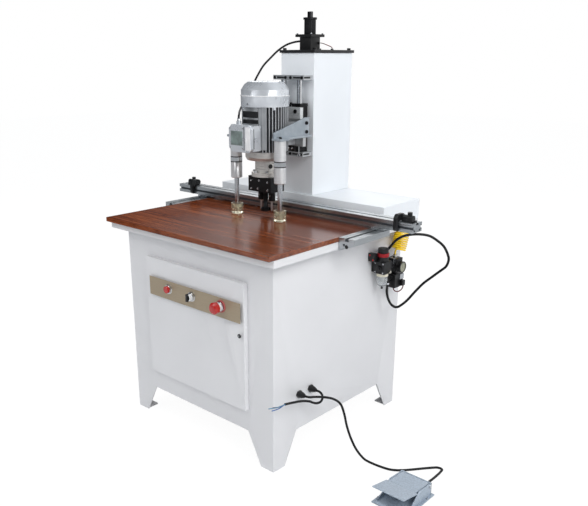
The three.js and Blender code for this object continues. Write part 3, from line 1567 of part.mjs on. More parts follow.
export default part;
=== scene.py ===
"""Looks of a hinge boring machine, laid out as a Blender add-on and run as a script."""
import json
from math import cos, pi, radians, sin

import bmesh
import bpy
from bpy.props import FloatProperty, FloatVectorProperty, PointerProperty
from mathutils import Matrix, Vector


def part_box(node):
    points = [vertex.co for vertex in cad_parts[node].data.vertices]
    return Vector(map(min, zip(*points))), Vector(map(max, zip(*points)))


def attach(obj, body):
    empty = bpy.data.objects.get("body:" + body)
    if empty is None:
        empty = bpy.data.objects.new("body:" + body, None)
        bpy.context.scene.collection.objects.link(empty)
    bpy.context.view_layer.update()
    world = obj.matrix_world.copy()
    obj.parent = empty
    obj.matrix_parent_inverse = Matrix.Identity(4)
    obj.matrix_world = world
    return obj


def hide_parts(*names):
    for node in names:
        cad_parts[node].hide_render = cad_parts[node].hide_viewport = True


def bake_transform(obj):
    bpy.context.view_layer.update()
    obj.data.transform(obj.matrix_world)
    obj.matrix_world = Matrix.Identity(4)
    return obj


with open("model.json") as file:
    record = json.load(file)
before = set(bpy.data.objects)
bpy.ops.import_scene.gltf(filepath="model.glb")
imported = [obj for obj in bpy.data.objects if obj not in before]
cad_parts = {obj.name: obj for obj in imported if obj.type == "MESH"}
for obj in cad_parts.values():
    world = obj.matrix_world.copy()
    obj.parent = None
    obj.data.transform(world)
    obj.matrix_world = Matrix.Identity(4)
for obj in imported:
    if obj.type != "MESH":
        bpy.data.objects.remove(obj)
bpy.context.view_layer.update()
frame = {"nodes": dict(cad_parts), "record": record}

bl_info = {
    "name": "Hinge boring machine", "version": (1, 0, 0), "blender": (4, 5, 0),
    "location": "View3D > Sidebar > Boring machine",
    "description": "Surfaces, fittings, cords and a pale stage for a hinge boring machine", "category": "Add Mesh"}


def spindle_axis():
    """The centre spindle's axis: positions in this file are millimetres from it and from the floor."""
    low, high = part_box("cup_cutter")
    return (low[0] + high[0]) / 2, (low[1] + high[1]) / 2


AXIS_X, AXIS_Y = spindle_axis()


def place(x, y, z):
    return Vector((AXIS_X + x / 1000, AXIS_Y + y / 1000, z / 1000))


def linear(code, alpha=1.0):
    """An sRGB hex colour as the linear values that Blender uses."""
    values = []
    for i in (0, 2, 4):
        part = int(code[i:i + 2], 16) / 255
        values.append(part / 12.92 if part <= 0.04045 else ((part + 0.055) / 1.055) ** 2.4)
    return (*values, alpha)


def colour(code, label, words):
    return FloatVectorProperty(
        name=label, description=words, subtype="COLOR", size=4, min=0.0, max=1.0, default=linear(code))


def length(mm, label, words):
    return FloatProperty(
        name=label, description=words, default=mm / 1000, min=0.0, soft_max=0.2, unit="LENGTH", subtype="DISTANCE")


class BoringMachineColours(bpy.types.PropertyGroup):
    sheet_paint: colour("E4E4E6", "Cabinet paint", "Powder coat on the cabinet, top frame and door")
    column_paint: colour("F3F7FB", "Column paint", "Colder powder coat on the plinth and the column")
    board_dark: colour("602A14", "Board, dark grain", "Dark streaks of the work board's laminate")
    board_light: colour("A25A34", "Board, light grain", "Light streaks of the work board's laminate")
    casting: colour("C3C6C9", "Silver castings", "Silver paint on the motor and guide castings")
    anodised: colour("BFC3C6", "Anodised extrusion", "Fence and side bars")
    oxide: colour("1A1A1C", "Black oxide", "Gear head, cutter and feed rod")
    red_button: colour("B8201C", "Red buttons", "Push button and emergency stop")
    control_plate: colour("A5967F", "Control plate", "Bare brushed plate behind the switches")
    feet: colour("F7F3DC", "Clamp feet", "Cast polyurethane")
    recoil: colour("FFD21E", "Recoil hose", "Coiled air hose")
    pedal: colour("A9B6C4", "Foot switch", "Hammered enamel on the foot switch")


class BoringMachineSizes(bpy.types.PropertyGroup):
    sheet_edge: length(1.4, "Sheet edge", "Radius of folded sheet-metal edges")
    cast_edge: length(1.2, "Casting edge", "Radius of cast and moulded edges")
    cut_edge: length(0.5, "Machined edge", "Chamfer of machined edges")
    board_edge: length(2.2, "Board edge", "Rounding of the work board's edges")
    screw_head: length(5.0, "Screw head radius", "Radius of the common cap screws")


def colours():
    return bpy.context.scene.boring_machine_colours


def sizes():
    return bpy.context.scene.boring_machine_sizes


# Materials

def add(tree, kind, settings=None, inputs=None, links=None):
    """Adds one node, sets its properties and unlinked inputs, and links sockets, or nodes' first ones, into it."""
    made = tree.nodes.new(kind)
    for key, value in (settings or {}).items():
        setattr(made, key, value)
    for key, value in (inputs or {}).items():
        made.inputs[key].default_value = value
    for key, source in (links or {}).items():
        tree.links.new(source.outputs[0] if hasattr(source, "outputs") else source, made.inputs[key])
    return made


def finish(name, paint):
    """A material whose nodes are added by paint(tree), which returns the shader."""
    if name in bpy.data.materials:
        return bpy.data.materials[name]
    material = bpy.data.materials.new(name)
    material.use_nodes = True
    tree = material.node_tree
    tree.nodes.clear()
    shader = paint(tree)
    add(tree, "ShaderNodeOutputMaterial", links={"Surface": shader})
    return material


def position(tree, scale=(1, 1, 1), turn=(0, 0, 0)):
    """Object coordinates in metres, stretched by scale."""
    source = add(tree, "ShaderNodeTexCoord")
    return add(
        tree, "ShaderNodeMapping", inputs={"Scale": scale, "Rotation": turn},
        links={"Vector": source.outputs["Object"]})


def grain(tree, mm, detail=3.0, scale=(1, 1, 1), roughness=0.55):
    """Noise whose lumps are about mm across."""
    return add(
        tree, "ShaderNodeTexNoise", inputs={"Scale": 1000 / mm, "Detail": detail, "Roughness": roughness},
        links={"Vector": position(tree, scale)}).outputs["Fac"]


def between(tree, factor, low, high, start=0.3, end=0.7):
    ramp = add(tree, "ShaderNodeValToRGB", links={"Fac": factor})
    ramp.color_ramp.elements[0].position = start
    ramp.color_ramp.elements[1].position = end
    ramp.color_ramp.elements[0].color = low
    ramp.color_ramp.elements[1].color = high
    return ramp.outputs["Color"]


def span(tree, factor, low, high, start=0.3, end=0.7):
    """The factor as a plain value from low to high."""
    return add(
        tree, "ShaderNodeMapRange",
        inputs={"From Min": start, "From Max": end, "To Min": low, "To Max": high}, links={"Value": factor},
    ).outputs["Result"]


def relief(tree, factor, mm, strength):
    inputs = {"Distance": mm / 1000, "Strength": strength}
    return add(tree, "ShaderNodeBump", inputs=inputs, links={"Height": factor}).outputs["Normal"]


def shifted(value, factor):
    """A colour made lighter or darker by a factor."""
    return (*(min(1.0, part * factor) for part in value[:3]), 1.0)


def surface(tree, base=None, base_link=None, rough=0.5, rough_link=None, normal=None, **values):
    """A Principled BSDF: constants on its own sockets, patterns linked."""
    inputs = {"Roughness": rough}
    if base is not None:
        inputs["Base Color"] = base
    inputs.update({key.replace("_", " "): value for key, value in values.items()})
    links = {}
    if base_link is not None:
        links["Base Color"] = base_link
    if rough_link is not None:
        links["Roughness"] = rough_link
    if normal is not None:
        links["Normal"] = normal
    return add(tree, "ShaderNodeBsdfPrincipled", inputs=inputs, links=links)


def tones_of(tones):
    """Two hex colours, or one with two factors; a colour may be named by its key in the settings."""
    def given(code):
        return tuple(getattr(colours(), code)) if hasattr(colours(), code) else linear(code)
    if isinstance(tones[-1], str):
        return [given(code) for code in tones]
    return [shifted(given(tones[0]), factor) for factor in tones[1:]]


def recipe(name, tones, pattern, rough, bump=None, ends=(0.3, 0.7), **values):
    """A material to be made when it's called for. Its noise is grain()'s pattern; it drives the tones and, where
    rough is a pair, the gloss. Bump is the relief's mm and strength, then a pattern of its own if it has one."""
    def paint(tree):
        field = grain(tree, *pattern)
        shades = tones_of(tones)
        given = {"base": shades[0]} if len(shades) == 1 else {"base_link": between(tree, field, *shades, *ends)}
        given.update({"rough": rough} if isinstance(rough, float) else {"rough_link": span(tree, field, *rough)})
        if bump:
            given["normal"] = relief(tree, grain(tree, *bump[2:]) if bump[2:] else field, *bump[:2])
        return surface(tree, **given, **values)
    return lambda: finish(name, paint)


def lines(detail, stretch, roughness=0.5):
    """A pattern of lines, so many to the metre along each axis."""
    return 1000, detail, stretch, roughness


# Powder-coated sheet steel: satin white with orange peel, drawn 9 mm coarse to show at all
COAT = ((180, 2.0), (0.36, 0.46), (0.12, 0.25, 9, 2.0))
powder_coat = recipe("powder_coated_steel_white", ("sheet_paint", 0.965, 1.0), *COAT, IOR=1.5)
column_coat = recipe("powder_coated_column_white", ("column_paint", 0.965, 1.0), *COAT, IOR=1.5)
# Satin black enamel over steel: faint peel and slightly worn, greyer patches
black_enamel = recipe("black_enamel_on_steel", ("101012", "1D1E20"), (30,), 0.38, (0.1, 0.3, 4), IOR=1.5)
# Silver-painted aluminium casting: soft sheen over a 3 mm sand grain
cast_silver = recipe(
    "silver_painted_casting", ("casting", 0.9, 1.0), (40,), (0.3, 0.42), (0.12, 0.3, 3.0, 2.0), Metallic=0.75)
# Pressed steel cowl with silver paint: smoother and brighter than the castings
cowl_silver = recipe(
    "silver_painted_pressing", ("CDD2D8", "DEE2E7"), (60,), (0.24, 0.34), (0.06, 0.2, 6.0, 2.0), Metallic=0.5)
# Painted shade for the slots' floors: anodising darkened to grey, drawn out along the extrusion
slot_shade_anodising = recipe("dusty_anodised_slot", ("54585D", "72767B"), (30, 3.0, (0.2, 0.2, 1)), 0.5, Metallic=0.7)
# Ground and chromed bar: near-mirror with fine rings from the grinder
ground_steel = recipe(
    "ground_chromed_steel", ("D2D4D7",), lines(2.0, (40, 40, 500)), (0.1, 0.2), (0.02, 0.3), Metallic=1.0)
# Clear-anodised aluminium tube: pale and satin, with faint turning lines
turned_aluminium = recipe(
    "clear_anodised_tube", ("DEDFE0", "EFEFF0"), lines(2.0, (20, 20, 700)), (0.3, 0.42), (0.03, 0.3), Metallic=0.7)
# Milled steel, lightly oiled: cutter marks about 2 mm apart
milled_steel = recipe(
    "milled_steel", ("8F9296", "B4B7BA"), lines(3.0, (60, 420, 420)), (0.25, 0.42), (0.04, 0.4), Metallic=1.0)
# Freshly milled aluminium: pale, with faint cutter marks
bright_milling = recipe(
    "bright_milled_aluminium", ("CDD0D3", "EDEFF0"), lines(3.0, (60, 420, 420)), (0.25, 0.4), Metallic=0.3)
# Black-oxided steel, oiled: nearly black with a dull metal sheen
black_oxide = recipe("black_oxided_steel", ("oxide", 0.8, 1.5), (14,), (0.28, 0.42), (0.05, 0.3, 2.5), Metallic=0.6)
# Glossy red polycarbonate, slightly deeper where it is thick
red_plastic = recipe(
    "glossy_red_polycarbonate", ("red_button", 0.85, 1.1), (18,), 0.22, IOR=1.55, Coat_Weight=0.3, Coat_Roughness=0.1)
# Cast polyurethane: clear, yellowed, with soft cloudy streaks
polyurethane = recipe(
    "cast_polyurethane", ("feet", 0.92, 1.1), (12,), 0.08, (0.1, 0.15), IOR=1.5, Transmission_Weight=0.88)
# Moulded polycarbonate bowl: clear, with a breath of grey
clear_bowl = recipe("clear_polycarbonate", ("E6EAEC", "F8FAFB"), (20,), 0.08, IOR=1.58, Transmission_Weight=0.85)
# Bright zinc-plated screw
zinc = recipe("bright_zinc_plate", ("B9BCC0", "D6D8DB"), (3,), 0.24, Metallic=1.0)
# Nickel-plated brass push-in fitting
brass = recipe("nickel_plated_brass", ("B5B2A6", "D0CDC2"), (6,), 0.22, Metallic=1.0)
# Bare brushed plate on the door: warm beige, fine upright brush lines drawn 1 mm apart
brushed_plate = recipe(
    "bare_brushed_plate", ("control_plate", 0.85, 1.12), lines(4.0, (14, 60, 900), 0.7), (0.3, 0.45), (0.03, 0.3),
    Metallic=0.25)
# Machined cast iron under clear lacquer: brownish grey, with turning lines
shield_casting = recipe(
    "lacquered_cast_iron", ("CECBC6", "E2DFDB"), lines(2.0, (20, 20, 500)), (0.26, 0.38), (0.04, 0.3), Metallic=0.65)
# Polished chrome ring: a mirror with the faintest haze
polished = recipe("polished_chrome", ("DADCDE", "EDEEF0"), (5,), 0.12, Metallic=1.0)
# Near-white enamel with a metal sheen: bright trim, and a painted highlight on the cowl's ring
bright_trim_and_highlight = recipe("bright_trim_enamel", ("EEF0F2", "FBFCFD"), (20,), 0.22, Metallic=0.15)
# Blue-grey silver paint on the clamp arms' cast plates
arm_paint = recipe("blue_silver_paint", ("9AA4AD", "AEB6BD"), (30,), (0.32, 0.45), (0.1, 0.3, 3.0, 2.0), Metallic=0.5)
# The terminal box's bare panel: grey-green lacquer on thin sheet, cloudier towards its middle
panel_paint = recipe("grey_green_lacquer", ("66706F", "8A9C98"), (26, 2.0), (0.3, 0.44), IOR=1.5)
# Moulded nitrile rubber: deep black and dull
black_rubber = recipe("black_nitrile_rubber", ("08080A", "141416"), (6,), 0.6, (0.03, 0.2), IOR=1.52)
# Moulded acetal: cream and satin
cream_plastic = recipe("cream_acetal", ("DAD3BC", "EAE5D4"), (8,), 0.35, IOR=1.48)
# Gauge dial behind its clear front: olive grey in this light
dial_paint = recipe(
    "gauge_dial_under_glass", ("8E8E78", "A6A692"), (9,), 0.2, IOR=1.5, Coat_Weight=0.6, Coat_Roughness=0.05)
# Sintered filter element: white and dull
sintered_white = recipe("sintered_white_element", ("E4E4E0", "F2F2EE"), (8,), 0.5)
# Extruded polyurethane recoil tube: glossy yellow
recoil_tube = recipe("yellow_polyurethane_tube", ("recoil", 0.94, 1.1), (8,), 0.25, IOR=1.5)


def brushed_aluminium(name, stretch):
    """Anodised aluminium extrusion: die lines run its length, drawn 1.5 mm apart to show."""
    return recipe(
        name, ("anodised", 0.82, 1.05), lines(3.0, stretch, 0.7), (0.22, 0.4), (0.05, 0.35), (0.25, 0.75),
        Metallic=1.0)()


def moulded(name, code, rough):
    """Moulded plastic with a fine eroded texture, drawn 2 mm coarse."""
    return recipe(name, (code, 0.88, 1.08), (25,), rough, (0.06, 0.2, 2.0, 1.0), IOR=1.49)()


def jacket(name, code, rough=0.5):
    """Cable jacket or tube: extruded, so nearly smooth, with slight drag marks."""
    gloss = (rough - 0.06, rough + 0.08)
    return recipe(name, (code, 0.85, 1.15), (10,), gloss, (0.04, 0.25, 3.0), IOR=1.5, Specular_IOR_Level=0.25)()


def multiplied(tree, share, first, second):
    """One colour darkened by a share of another."""
    return add(
        tree, "ShaderNodeMix", {"data_type": "RGBA", "blend_type": "MULTIPLY"}, {"Factor": share},
        {"A": first, "B": second}).outputs["Result"]


def laminate():
    """High-pressure laminate printed with red-brown wood grain along the fence; a painted sheen makes it reflect more
    to the right.
    """
    def paint(tree):
        streaks = add(
            tree, "ShaderNodeTexNoise", inputs={"Scale": 1.0, "Detail": 6.0, "Roughness": 0.6, "Distortion": 0.4},
            links={"Vector": position(tree, (3.0, 85, 85))}).outputs["Fac"]
        pores = grain(tree, *lines(2.0, (24, 420, 420)))
        bands = grain(tree, *lines(2.0, (1.6, 9, 9)))
        settings = colours()
        figure = between(tree, streaks, tuple(settings.board_dark), tuple(settings.board_light), 0.32, 0.68)
        tint = between(tree, bands, linear("D8C6BC"), linear("FFFFFF"), 0.35, 0.65)
        dark = between(tree, pores, linear("7A5646"), linear("FFFFFF"), 0.32, 0.5)
        shader = surface(
            tree, base_link=multiplied(tree, 0.75, multiplied(tree, 0.8, figure, tint), dark),
            rough_link=span(tree, bands, 0.14, 0.22),
            normal=relief(tree, grain(tree, 60, detail=1.0), 0.15, 0.08), IOR=1.46)
        parts = add(tree, "ShaderNodeSeparateXYZ", links={"Vector": position(tree)}).outputs
        # painted sheen: the specular level rises to the right, standing in for the light there
        painted_sheen = span(tree, parts["X"], 0.04, 0.8, AXIS_X - 0.25, AXIS_X + 0.4)
        tree.links.new(painted_sheen, shader.inputs["Specular IOR Level"])
        return shader
    return finish("red_brown_wood_laminate", paint)


def hammered():
    """Hammered enamel on the foot switch casting: 5 mm dimples, grey-blue."""
    def paint(tree):
        dimples = add(
            tree, "ShaderNodeTexVoronoi", {"feature": "SMOOTH_F1"}, {"Scale": 200.0, "Smoothness": 0.6},
            {"Vector": position(tree)}).outputs["Distance"]
        tone = between(tree, dimples, *tones_of(("pedal", 0.8, 1.05)), 0.1, 0.7)
        return surface(
            tree, base_link=tone, rough=0.3, normal=relief(tree, dimples, 0.3, 0.35), Metallic=0.2, IOR=1.5)
    return finish("hammered_enamel", paint)


def finned_casting():
    """The motor's casting: silver paint, with painted shade darkening the gaps between the fins towards their roots.
    """
    def paint(tree):
        cloud = grain(tree, 40)
        reach = add(tree, "ShaderNodeTexCoord").outputs["Object"]
        for operation, amount in (("SUBTRACT", (AXIS_X, AXIS_Y, 0)), ("MULTIPLY", (1, 1, 0))):
            reach = add(tree, "ShaderNodeVectorMath", {"operation": operation}, {1: amount}, {0: reach})
        reach = add(tree, "ShaderNodeVectorMath", {"operation": "LENGTH"}, links={0: reach}).outputs["Value"]
        # painted shade: dark 34373B in the gaps between the fins, turning to the silver paint towards their tips
        gap_shade = add(
            tree, "ShaderNodeMix", {"data_type": "RGBA"}, {"A": linear("34373B")},
            {"Factor": span(tree, reach, 0.0, 1.0, 0.0715, 0.0805),
             "B": between(tree, cloud, *tones_of(("casting", 0.9, 1.0)))}).outputs["Result"]
        return surface(
            tree, base_link=gap_shade, rough_link=span(tree, cloud, 0.3, 0.42),
            normal=relief(tree, grain(tree, 3.0, detail=2.0), 0.12, 0.3), Metallic=0.6)
    return finish("finned_silver_casting", paint)


# Geometry

def merged_copy(node):
    """The node's own mesh with its doubles merged and its flat faces joined."""
    shape = bmesh.new()
    shape.from_mesh(frame["nodes"][node].data)
    bmesh.ops.remove_doubles(shape, verts=shape.verts, dist=2e-6)
    bmesh.ops.dissolve_limit(
        shape, angle_limit=radians(0.4), verts=shape.verts, edges=shape.edges, use_dissolve_boundaries=False)
    return shape


def placed(name, data, body=None):
    """An object of a mesh, curve, lamp or camera, which may ride on a body."""
    made = bpy.data.objects.new(name, data)
    bpy.context.scene.collection.objects.link(made)
    if body:
        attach(made, body)
    return made


def link(name, shape, material, body):
    """An object of a bmesh that lies where it belongs."""
    mesh = bpy.data.meshes.new(name)
    shape.to_mesh(mesh)
    shape.free()
    mesh.materials.append(material)
    return placed(name, mesh, body)


def soften(made, width, segments=2, angle=38):
    """Rounds the sharp edges and shades the rest smooth."""
    mesh = made.data
    mesh.shade_smooth()
    mesh.set_sharp_from_angle(angle=radians(angle))
    if width > 0:
        bevel = made.modifiers.new("edges", "BEVEL")
        bevel.width = width
        bevel.segments = segments
        bevel.limit_method = "ANGLE"
        bevel.angle_limit = radians(angle)
        bevel.miter_outer = "MITER_ARC"
        bevel.harden_normals = True
    return made


def body_of_node(node):
    for name, members in frame["record"]["behaviour"]["bodies"].items():
        if node in members:
            return name
    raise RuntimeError(node + " is in no body")


def dress(nodes, material, edge="", segments=2, form=None):
    """Finished copies of solids, or a fuller form of one, with their edges rounded as they were made."""
    for node in nodes.split():
        made = link(node + "_skin", form or merged_copy(node), material, body_of_node(node))
        soften(made, getattr(sizes(), edge + "_edge") if edge else 0.0, segments)
        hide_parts(node)


def stitched(rings, closed=False, capped=False):
    """A shape of rings of places in metres, each joined to the next; a ring may be a single place."""
    shape = bmesh.new()
    rows = [[shape.verts.new(spot) for spot in ring] for ring in rings]
    if capped:
        for row in (rows[0], rows[-1]):
            shape.faces.new(row)
    for first, second in list(zip(rows, rows[1:])) + ([(rows[-1], rows[0])] if closed else []):
        steps = max(len(first), len(second))
        for k in range(steps):
            n = (k + 1) % steps
            corners = dict.fromkeys(
                (first[k % len(first)], first[n % len(first)], second[n % len(second)], second[k % len(second)]))
            if len(corners) > 2:
                shape.faces.new(tuple(corners))
    bmesh.ops.recalc_face_normals(shape, faces=shape.faces)
    return shape


def turns(steps):
    """The angles of a full circle in so many steps."""
    return [2 * pi * k / steps for k in range(steps)]


def lathe(profile, centre, axis="Z", steps=64):
    """A closed turned shape from (radius, height) pairs in millimetres about an axis through centre."""
    rings = []
    for radius, height in profile:
        ring = []
        for a in turns(steps if radius > 0 else 1):
            u, v = radius * cos(a), radius * sin(a)
            offset = {"Z": (u, v, height), "X": (height, u, v), "Y": (v, height, u)}[axis]
            ring.append(place(*(a + b for a, b in zip(centre, offset))))
        rings.append(ring)
    return stitched(rings, closed=len(rings[0]) > 1 and len(rings[-1]) > 1)


def slab(x0, x1, y0, y1, z0, z1):
    shape = bmesh.new()
    bmesh.ops.create_cube(shape, size=1.0)
    for vert in shape.verts:
        u, v, w = vert.co
        vert.co = place(x0 + (u + 0.5) * (x1 - x0), y0 + (v + 0.5) * (y1 - y0), z0 + (w + 0.5) * (z1 - z0))
    return shape


def pull(outline, axis, low, high):
    """A closed outline in the two other axes' millimetres, pulled along one axis."""
    return stitched(
        [[place(*((level, *spot) if axis == "X" else (*spot, level))) for spot in outline] for level in (low, high)],
        capped=True)


def drum(radius, low, high, centre, axis="Z", steps=48):
    return lathe([(0, low), (radius, low), (radius, high), (0, high)], centre, axis, steps)


def smooth_route(points, spacing):
    """A centripetal spline through points in millimetres, cut into even steps in metres."""
    knots = [place(*p) for p in points]
    ends = [2 * knots[0] - knots[1]] + knots + [2 * knots[-1] - knots[-2]]
    fine = []
    for i in range(1, len(ends) - 2):
        p0, p1, p2, p3 = ends[i - 1:i + 3]
        d0, d1, d2 = ((b - a).length ** 0.5 for a, b in ((p0, p1), (p1, p2), (p2, p3)))
        t1 = ((p1 - p0) / d0 - (p2 - p0) / (d0 + d1) + (p2 - p1) / d1) * d1
        t2 = ((p2 - p1) / d1 - (p3 - p1) / (d1 + d2) + (p3 - p2) / d2) * d1
        for k in range(24):
            t = k / 24
            fine.append(
                p1 * (2 * t ** 3 - 3 * t * t + 1) + t1 * (t ** 3 - 2 * t * t + t)
                + p2 * (3 * t * t - 2 * t ** 3) + t2 * (t ** 3 - t * t))
    fine.append(knots[-1])
    return even_steps(fine, spacing)


def even_steps(fine, spacing):
    total = sum((b - a).length for a, b in zip(fine, fine[1:]))
    count = max(2, round(total / spacing))
    steps, run, goal = [fine[0]], 0.0, total / count
    for a, b in zip(fine, fine[1:]):
        stretch = (b - a).length
        while stretch > 0 and run + stretch >= goal * len(steps) and len(steps) < count:
            steps.append(a.lerp(b, (goal * len(steps) - run) / stretch))
        run += stretch
    steps.append(fine[-1])
    return steps, total


def strand(name, points, radius, material, body):
    """A round cord as a curve of one open spline through the points, in metres."""
    curve = bpy.data.curves.new(name, "CURVE")
    curve.dimensions = "3D"
    curve.bevel_depth = radius
    curve.bevel_resolution = 5
    curve.use_fill_caps = True
    curve.resolution_u = 4
    spline = curve.splines.new("BEZIER")
    spline.bezier_points.add(len(points) - 1)
    for point, co in zip(spline.bezier_points, points):
        point.co = co
        point.handle_left_type = point.handle_right_type = "AUTO"
    curve.materials.append(material)
    return placed(name, curve, body)


def sweep(points, radius, sides=16):
    """A tube of rings along the points, with flat ends."""
    last = len(points) - 1
    normal = Vector((1, 0, 0))
    rings = []
    for i, p in enumerate(points):
        heading = (points[min(i + 1, last)] - points[max(i - 1, 0)]).normalized()
        if i == 0 and abs(heading.x) > 0.7:
            normal = Vector((0, 1, 0))
        normal = (normal - heading * normal.dot(heading)).normalized()
        side = heading.cross(normal)
        rings.append([p + radius * (cos(a) * normal + sin(a) * side) for a in turns(sides)])
    return stitched(rings, capped=True)


def hoop(centre, normal, ring, wire, steps=36, sides=10):
    """A closed ring of round wire about the axis through centre, in millimetres."""
    axis = Vector(normal).normalized()
    across = axis.orthogonal().normalized()
    along = axis.cross(across)
    rings = []
    for a in turns(steps):
        out = across * cos(a) + along * sin(a)
        rings.append([
            place(*(Vector(centre) + out * (ring + wire * cos(b)) + axis * wire * sin(b))) for b in turns(sides)])
    return stitched(rings, closed=True)


def sector(inner, outer, start, stop, low, high, steps=12):
    """A piece of a pipe's wall about the spindle axis, between two angles in degrees."""
    corners = ((outer, low), (inner, low), (inner, high), (outer, high))
    angles = [radians(start + (stop - start) * k / steps) for k in range(steps + 1)]
    return stitched([[place(r * cos(a), r * sin(a), z) for r, z in corners] for a in angles], capped=True)


def joined(*shapes):
    """Several closed shapes as one."""
    whole = bmesh.new()
    for shape in shapes:
        part = bpy.data.meshes.new("part")
        shape.to_mesh(part)
        shape.free()
        whole.from_mesh(part)
        bpy.data.meshes.remove(part)
    return whole


def piece(name, shape, material, body, width=0.0):
    return soften(link(name, shape, material, body), width / 1000)


def fastener_tree():
    """One fastener at each point: a washer, a head, and a six-sided socket in it if Socketed is on."""
    name = "fasteners"
    if name in bpy.data.node_groups:
        return bpy.data.node_groups[name]
    tree = bpy.data.node_groups.new(name, "GeometryNodeTree")
    tree.interface.new_socket("Geometry", in_out="OUTPUT", socket_type="NodeSocketGeometry")
    tree.interface.new_socket("Geometry", in_out="INPUT", socket_type="NodeSocketGeometry")
    for key, kind in (
        ("Sides", "Int"), ("Head radius", "Float"), ("Head height", "Float"), ("Socketed", "Bool"),
        ("Socket radius", "Float"), ("Washer radius", "Float"), ("Washer height", "Float"), ("Finish", "Material")):
        tree.interface.new_socket(key, in_out="INPUT", socket_type="NodeSocket" + kind)
    given = add(tree, "NodeGroupInput").outputs

    def stood(radius, depth, share, base=None, sides=None, corners=24):
        """A cylinder whose middle is at share of its depth, above base."""
        links = {"Radius": radius, "Depth": depth}
        if sides is not None:
            links["Vertices"] = sides
        post = add(tree, "GeometryNodeMeshCylinder", inputs={"Vertices": corners}, links=links)
        middle_links = {0: depth}
        if base is not None:
            middle_links[2] = base
        level = add(tree, "ShaderNodeMath", {"operation": "MULTIPLY_ADD"}, {1: share, 2: 0.0}, middle_links)
        up = add(tree, "ShaderNodeCombineXYZ", links={"Z": level})
        return add(tree, "GeometryNodeTransform", links={"Geometry": post, "Translation": up})

    washer = stood(given["Washer radius"], given["Washer height"], 0.5)
    head = stood(given["Head radius"], given["Head height"], 0.5, given["Washer height"], given["Sides"])
    socket = stood(given["Socket radius"], given["Head height"], 1.0, given["Washer height"], corners=6)
    cut = add(
        tree, "GeometryNodeMeshBoolean", {"operation": "DIFFERENCE", "solver": "EXACT"},
        links={"Mesh 1": head, "Mesh 2": socket})
    chosen = add(
        tree, "GeometryNodeSwitch", {"input_type": "GEOMETRY"},
        links={"Switch": given["Socketed"], "False": head, "True": cut.outputs["Mesh"]})
    whole = add(tree, "GeometryNodeJoinGeometry")
    for part in (washer, chosen):
        tree.links.new(part.outputs[0], whole.inputs[0])
    facing = add(tree, "GeometryNodeInputNamedAttribute", {"data_type": "FLOAT_VECTOR"}, {"Name": "facing"})
    turned = add(
        tree, "FunctionNodeAlignRotationToVector", {"axis": "Z"}, links={"Vector": facing.outputs["Attribute"]})
    spread = add(
        tree, "GeometryNodeInstanceOnPoints",
        links={"Points": given["Geometry"], "Instance": whole, "Rotation": turned})
    real = add(tree, "GeometryNodeRealizeInstances", links={"Geometry": spread})
    coated = add(tree, "GeometryNodeSetMaterial", links={"Geometry": real, "Material": given["Finish"]})
    add(tree, "NodeGroupOutput", links={"Geometry": coated})
    return tree


def fasteners(
        name, body, spots, radius, height, socket=0.0, sides=20, washer=1.2, thick=0.8, slot="ground_steel",
        material=None):
    """Fasteners of one kind on one body: each spot is a place in millimetres and the way the head faces. They are
    bright zinc unless a material is given."""
    points = bpy.data.meshes.new(name)
    points.from_pydata([place(*spot) for spot, _ in spots], [], [])
    facing = points.attributes.new("facing", "FLOAT_VECTOR", "POINT")
    for row, (_, way) in zip(facing.data, spots):
        row.vector = way
    made = placed(name, points, body)
    modifier = made.modifiers.new("fasteners", "NODES")
    tree = fastener_tree()
    values = {
        "Sides": sides, "Head radius": radius / 1000, "Head height": height / 1000, "Socketed": socket > 0,
        "Socket radius": socket / 1000, "Washer radius": radius * washer / 1000, "Washer height": thick / 1000,
        "Finish": material or zinc()}
    modifier.node_group = tree
    for item in tree.interface.items_tree:
        if item.in_out == "INPUT" and item.name in values:
            modifier[item.identifier] = values[item.name]
    bpy.context.view_layer.update()
    made.data = bpy.data.meshes.new_from_object(made.evaluated_get(bpy.context.evaluated_depsgraph_get()))
    made.modifiers.clear()
    return soften(made, 0.0003)


# Cords: their routes, in millimetres

def middle(node, side):
    """The centre of one side of a node's box, in millimetres from the spindle axis."""
    low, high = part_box(node)
    axis, sign = "xyz".index(side[1]), side[0]
    point = [(a + b) / 2 for a, b in zip(low, high)]
    point[axis] = high[axis] if sign == "+" else low[axis]
    return [(point[0] - AXIS_X) * 1000, (point[1] - AXIS_Y) * 1000, point[2] * 1000]


MOTOR_CABLE = [
    (-36, -94.3, 1105.3), (-36, -94.3, 1112.5), (-52, -76, 1122), (-78, -48, 1128), (-97, -16, 1146), (-111, 24, 1178),
    (-122, 64, 1212), (-131, 100, 1246), (-135, 136, 1280), (-130, 168, 1306), (-118, 196, 1332), (-98, 220, 1352),
    (-68, 234, 1362), (-33.5, 238, 1364.4), (-26.3, 238, 1364.4)]
PEDAL_CORD = [
    (387.6, -226, 243), (395.6, -226, 243), (410, -207, 241.5), (428, -190, 241), (444, -176, 239), (460, -162, 233),
    (475, -148, 217), (485, -139, 182), (493, -132, 135), (505, -122, 87), (522, -107, 40), (545, -93, 10),
    (570, -88, 4.3), (605, -86, 4.3), (640, -78, 4.3), (667, -58, 4.3), (689, -33, 4.3), (710, -6, 4.3),
    (731, 20, 4.3), (749, 38, 4.3), (763, 39, 4.3), (769, 20, 5), (773, -10, 8), (778, -45, 14), (782, -75, 20),
    (784, -91.7, 23), (784, -103.7, 23)]
MAINS_CORD = [
    (387.6, -167, 243), (395.6, -167, 243), (407, -164, 238), (413, -165, 228), (416, -173, 218), (413, -187, 213),
    (406, -201, 216), (401, -214, 224), (398, -228, 230), (397, -247, 237), (398, -272, 245), (399, -304, 253),
    (400, -338, 261)]
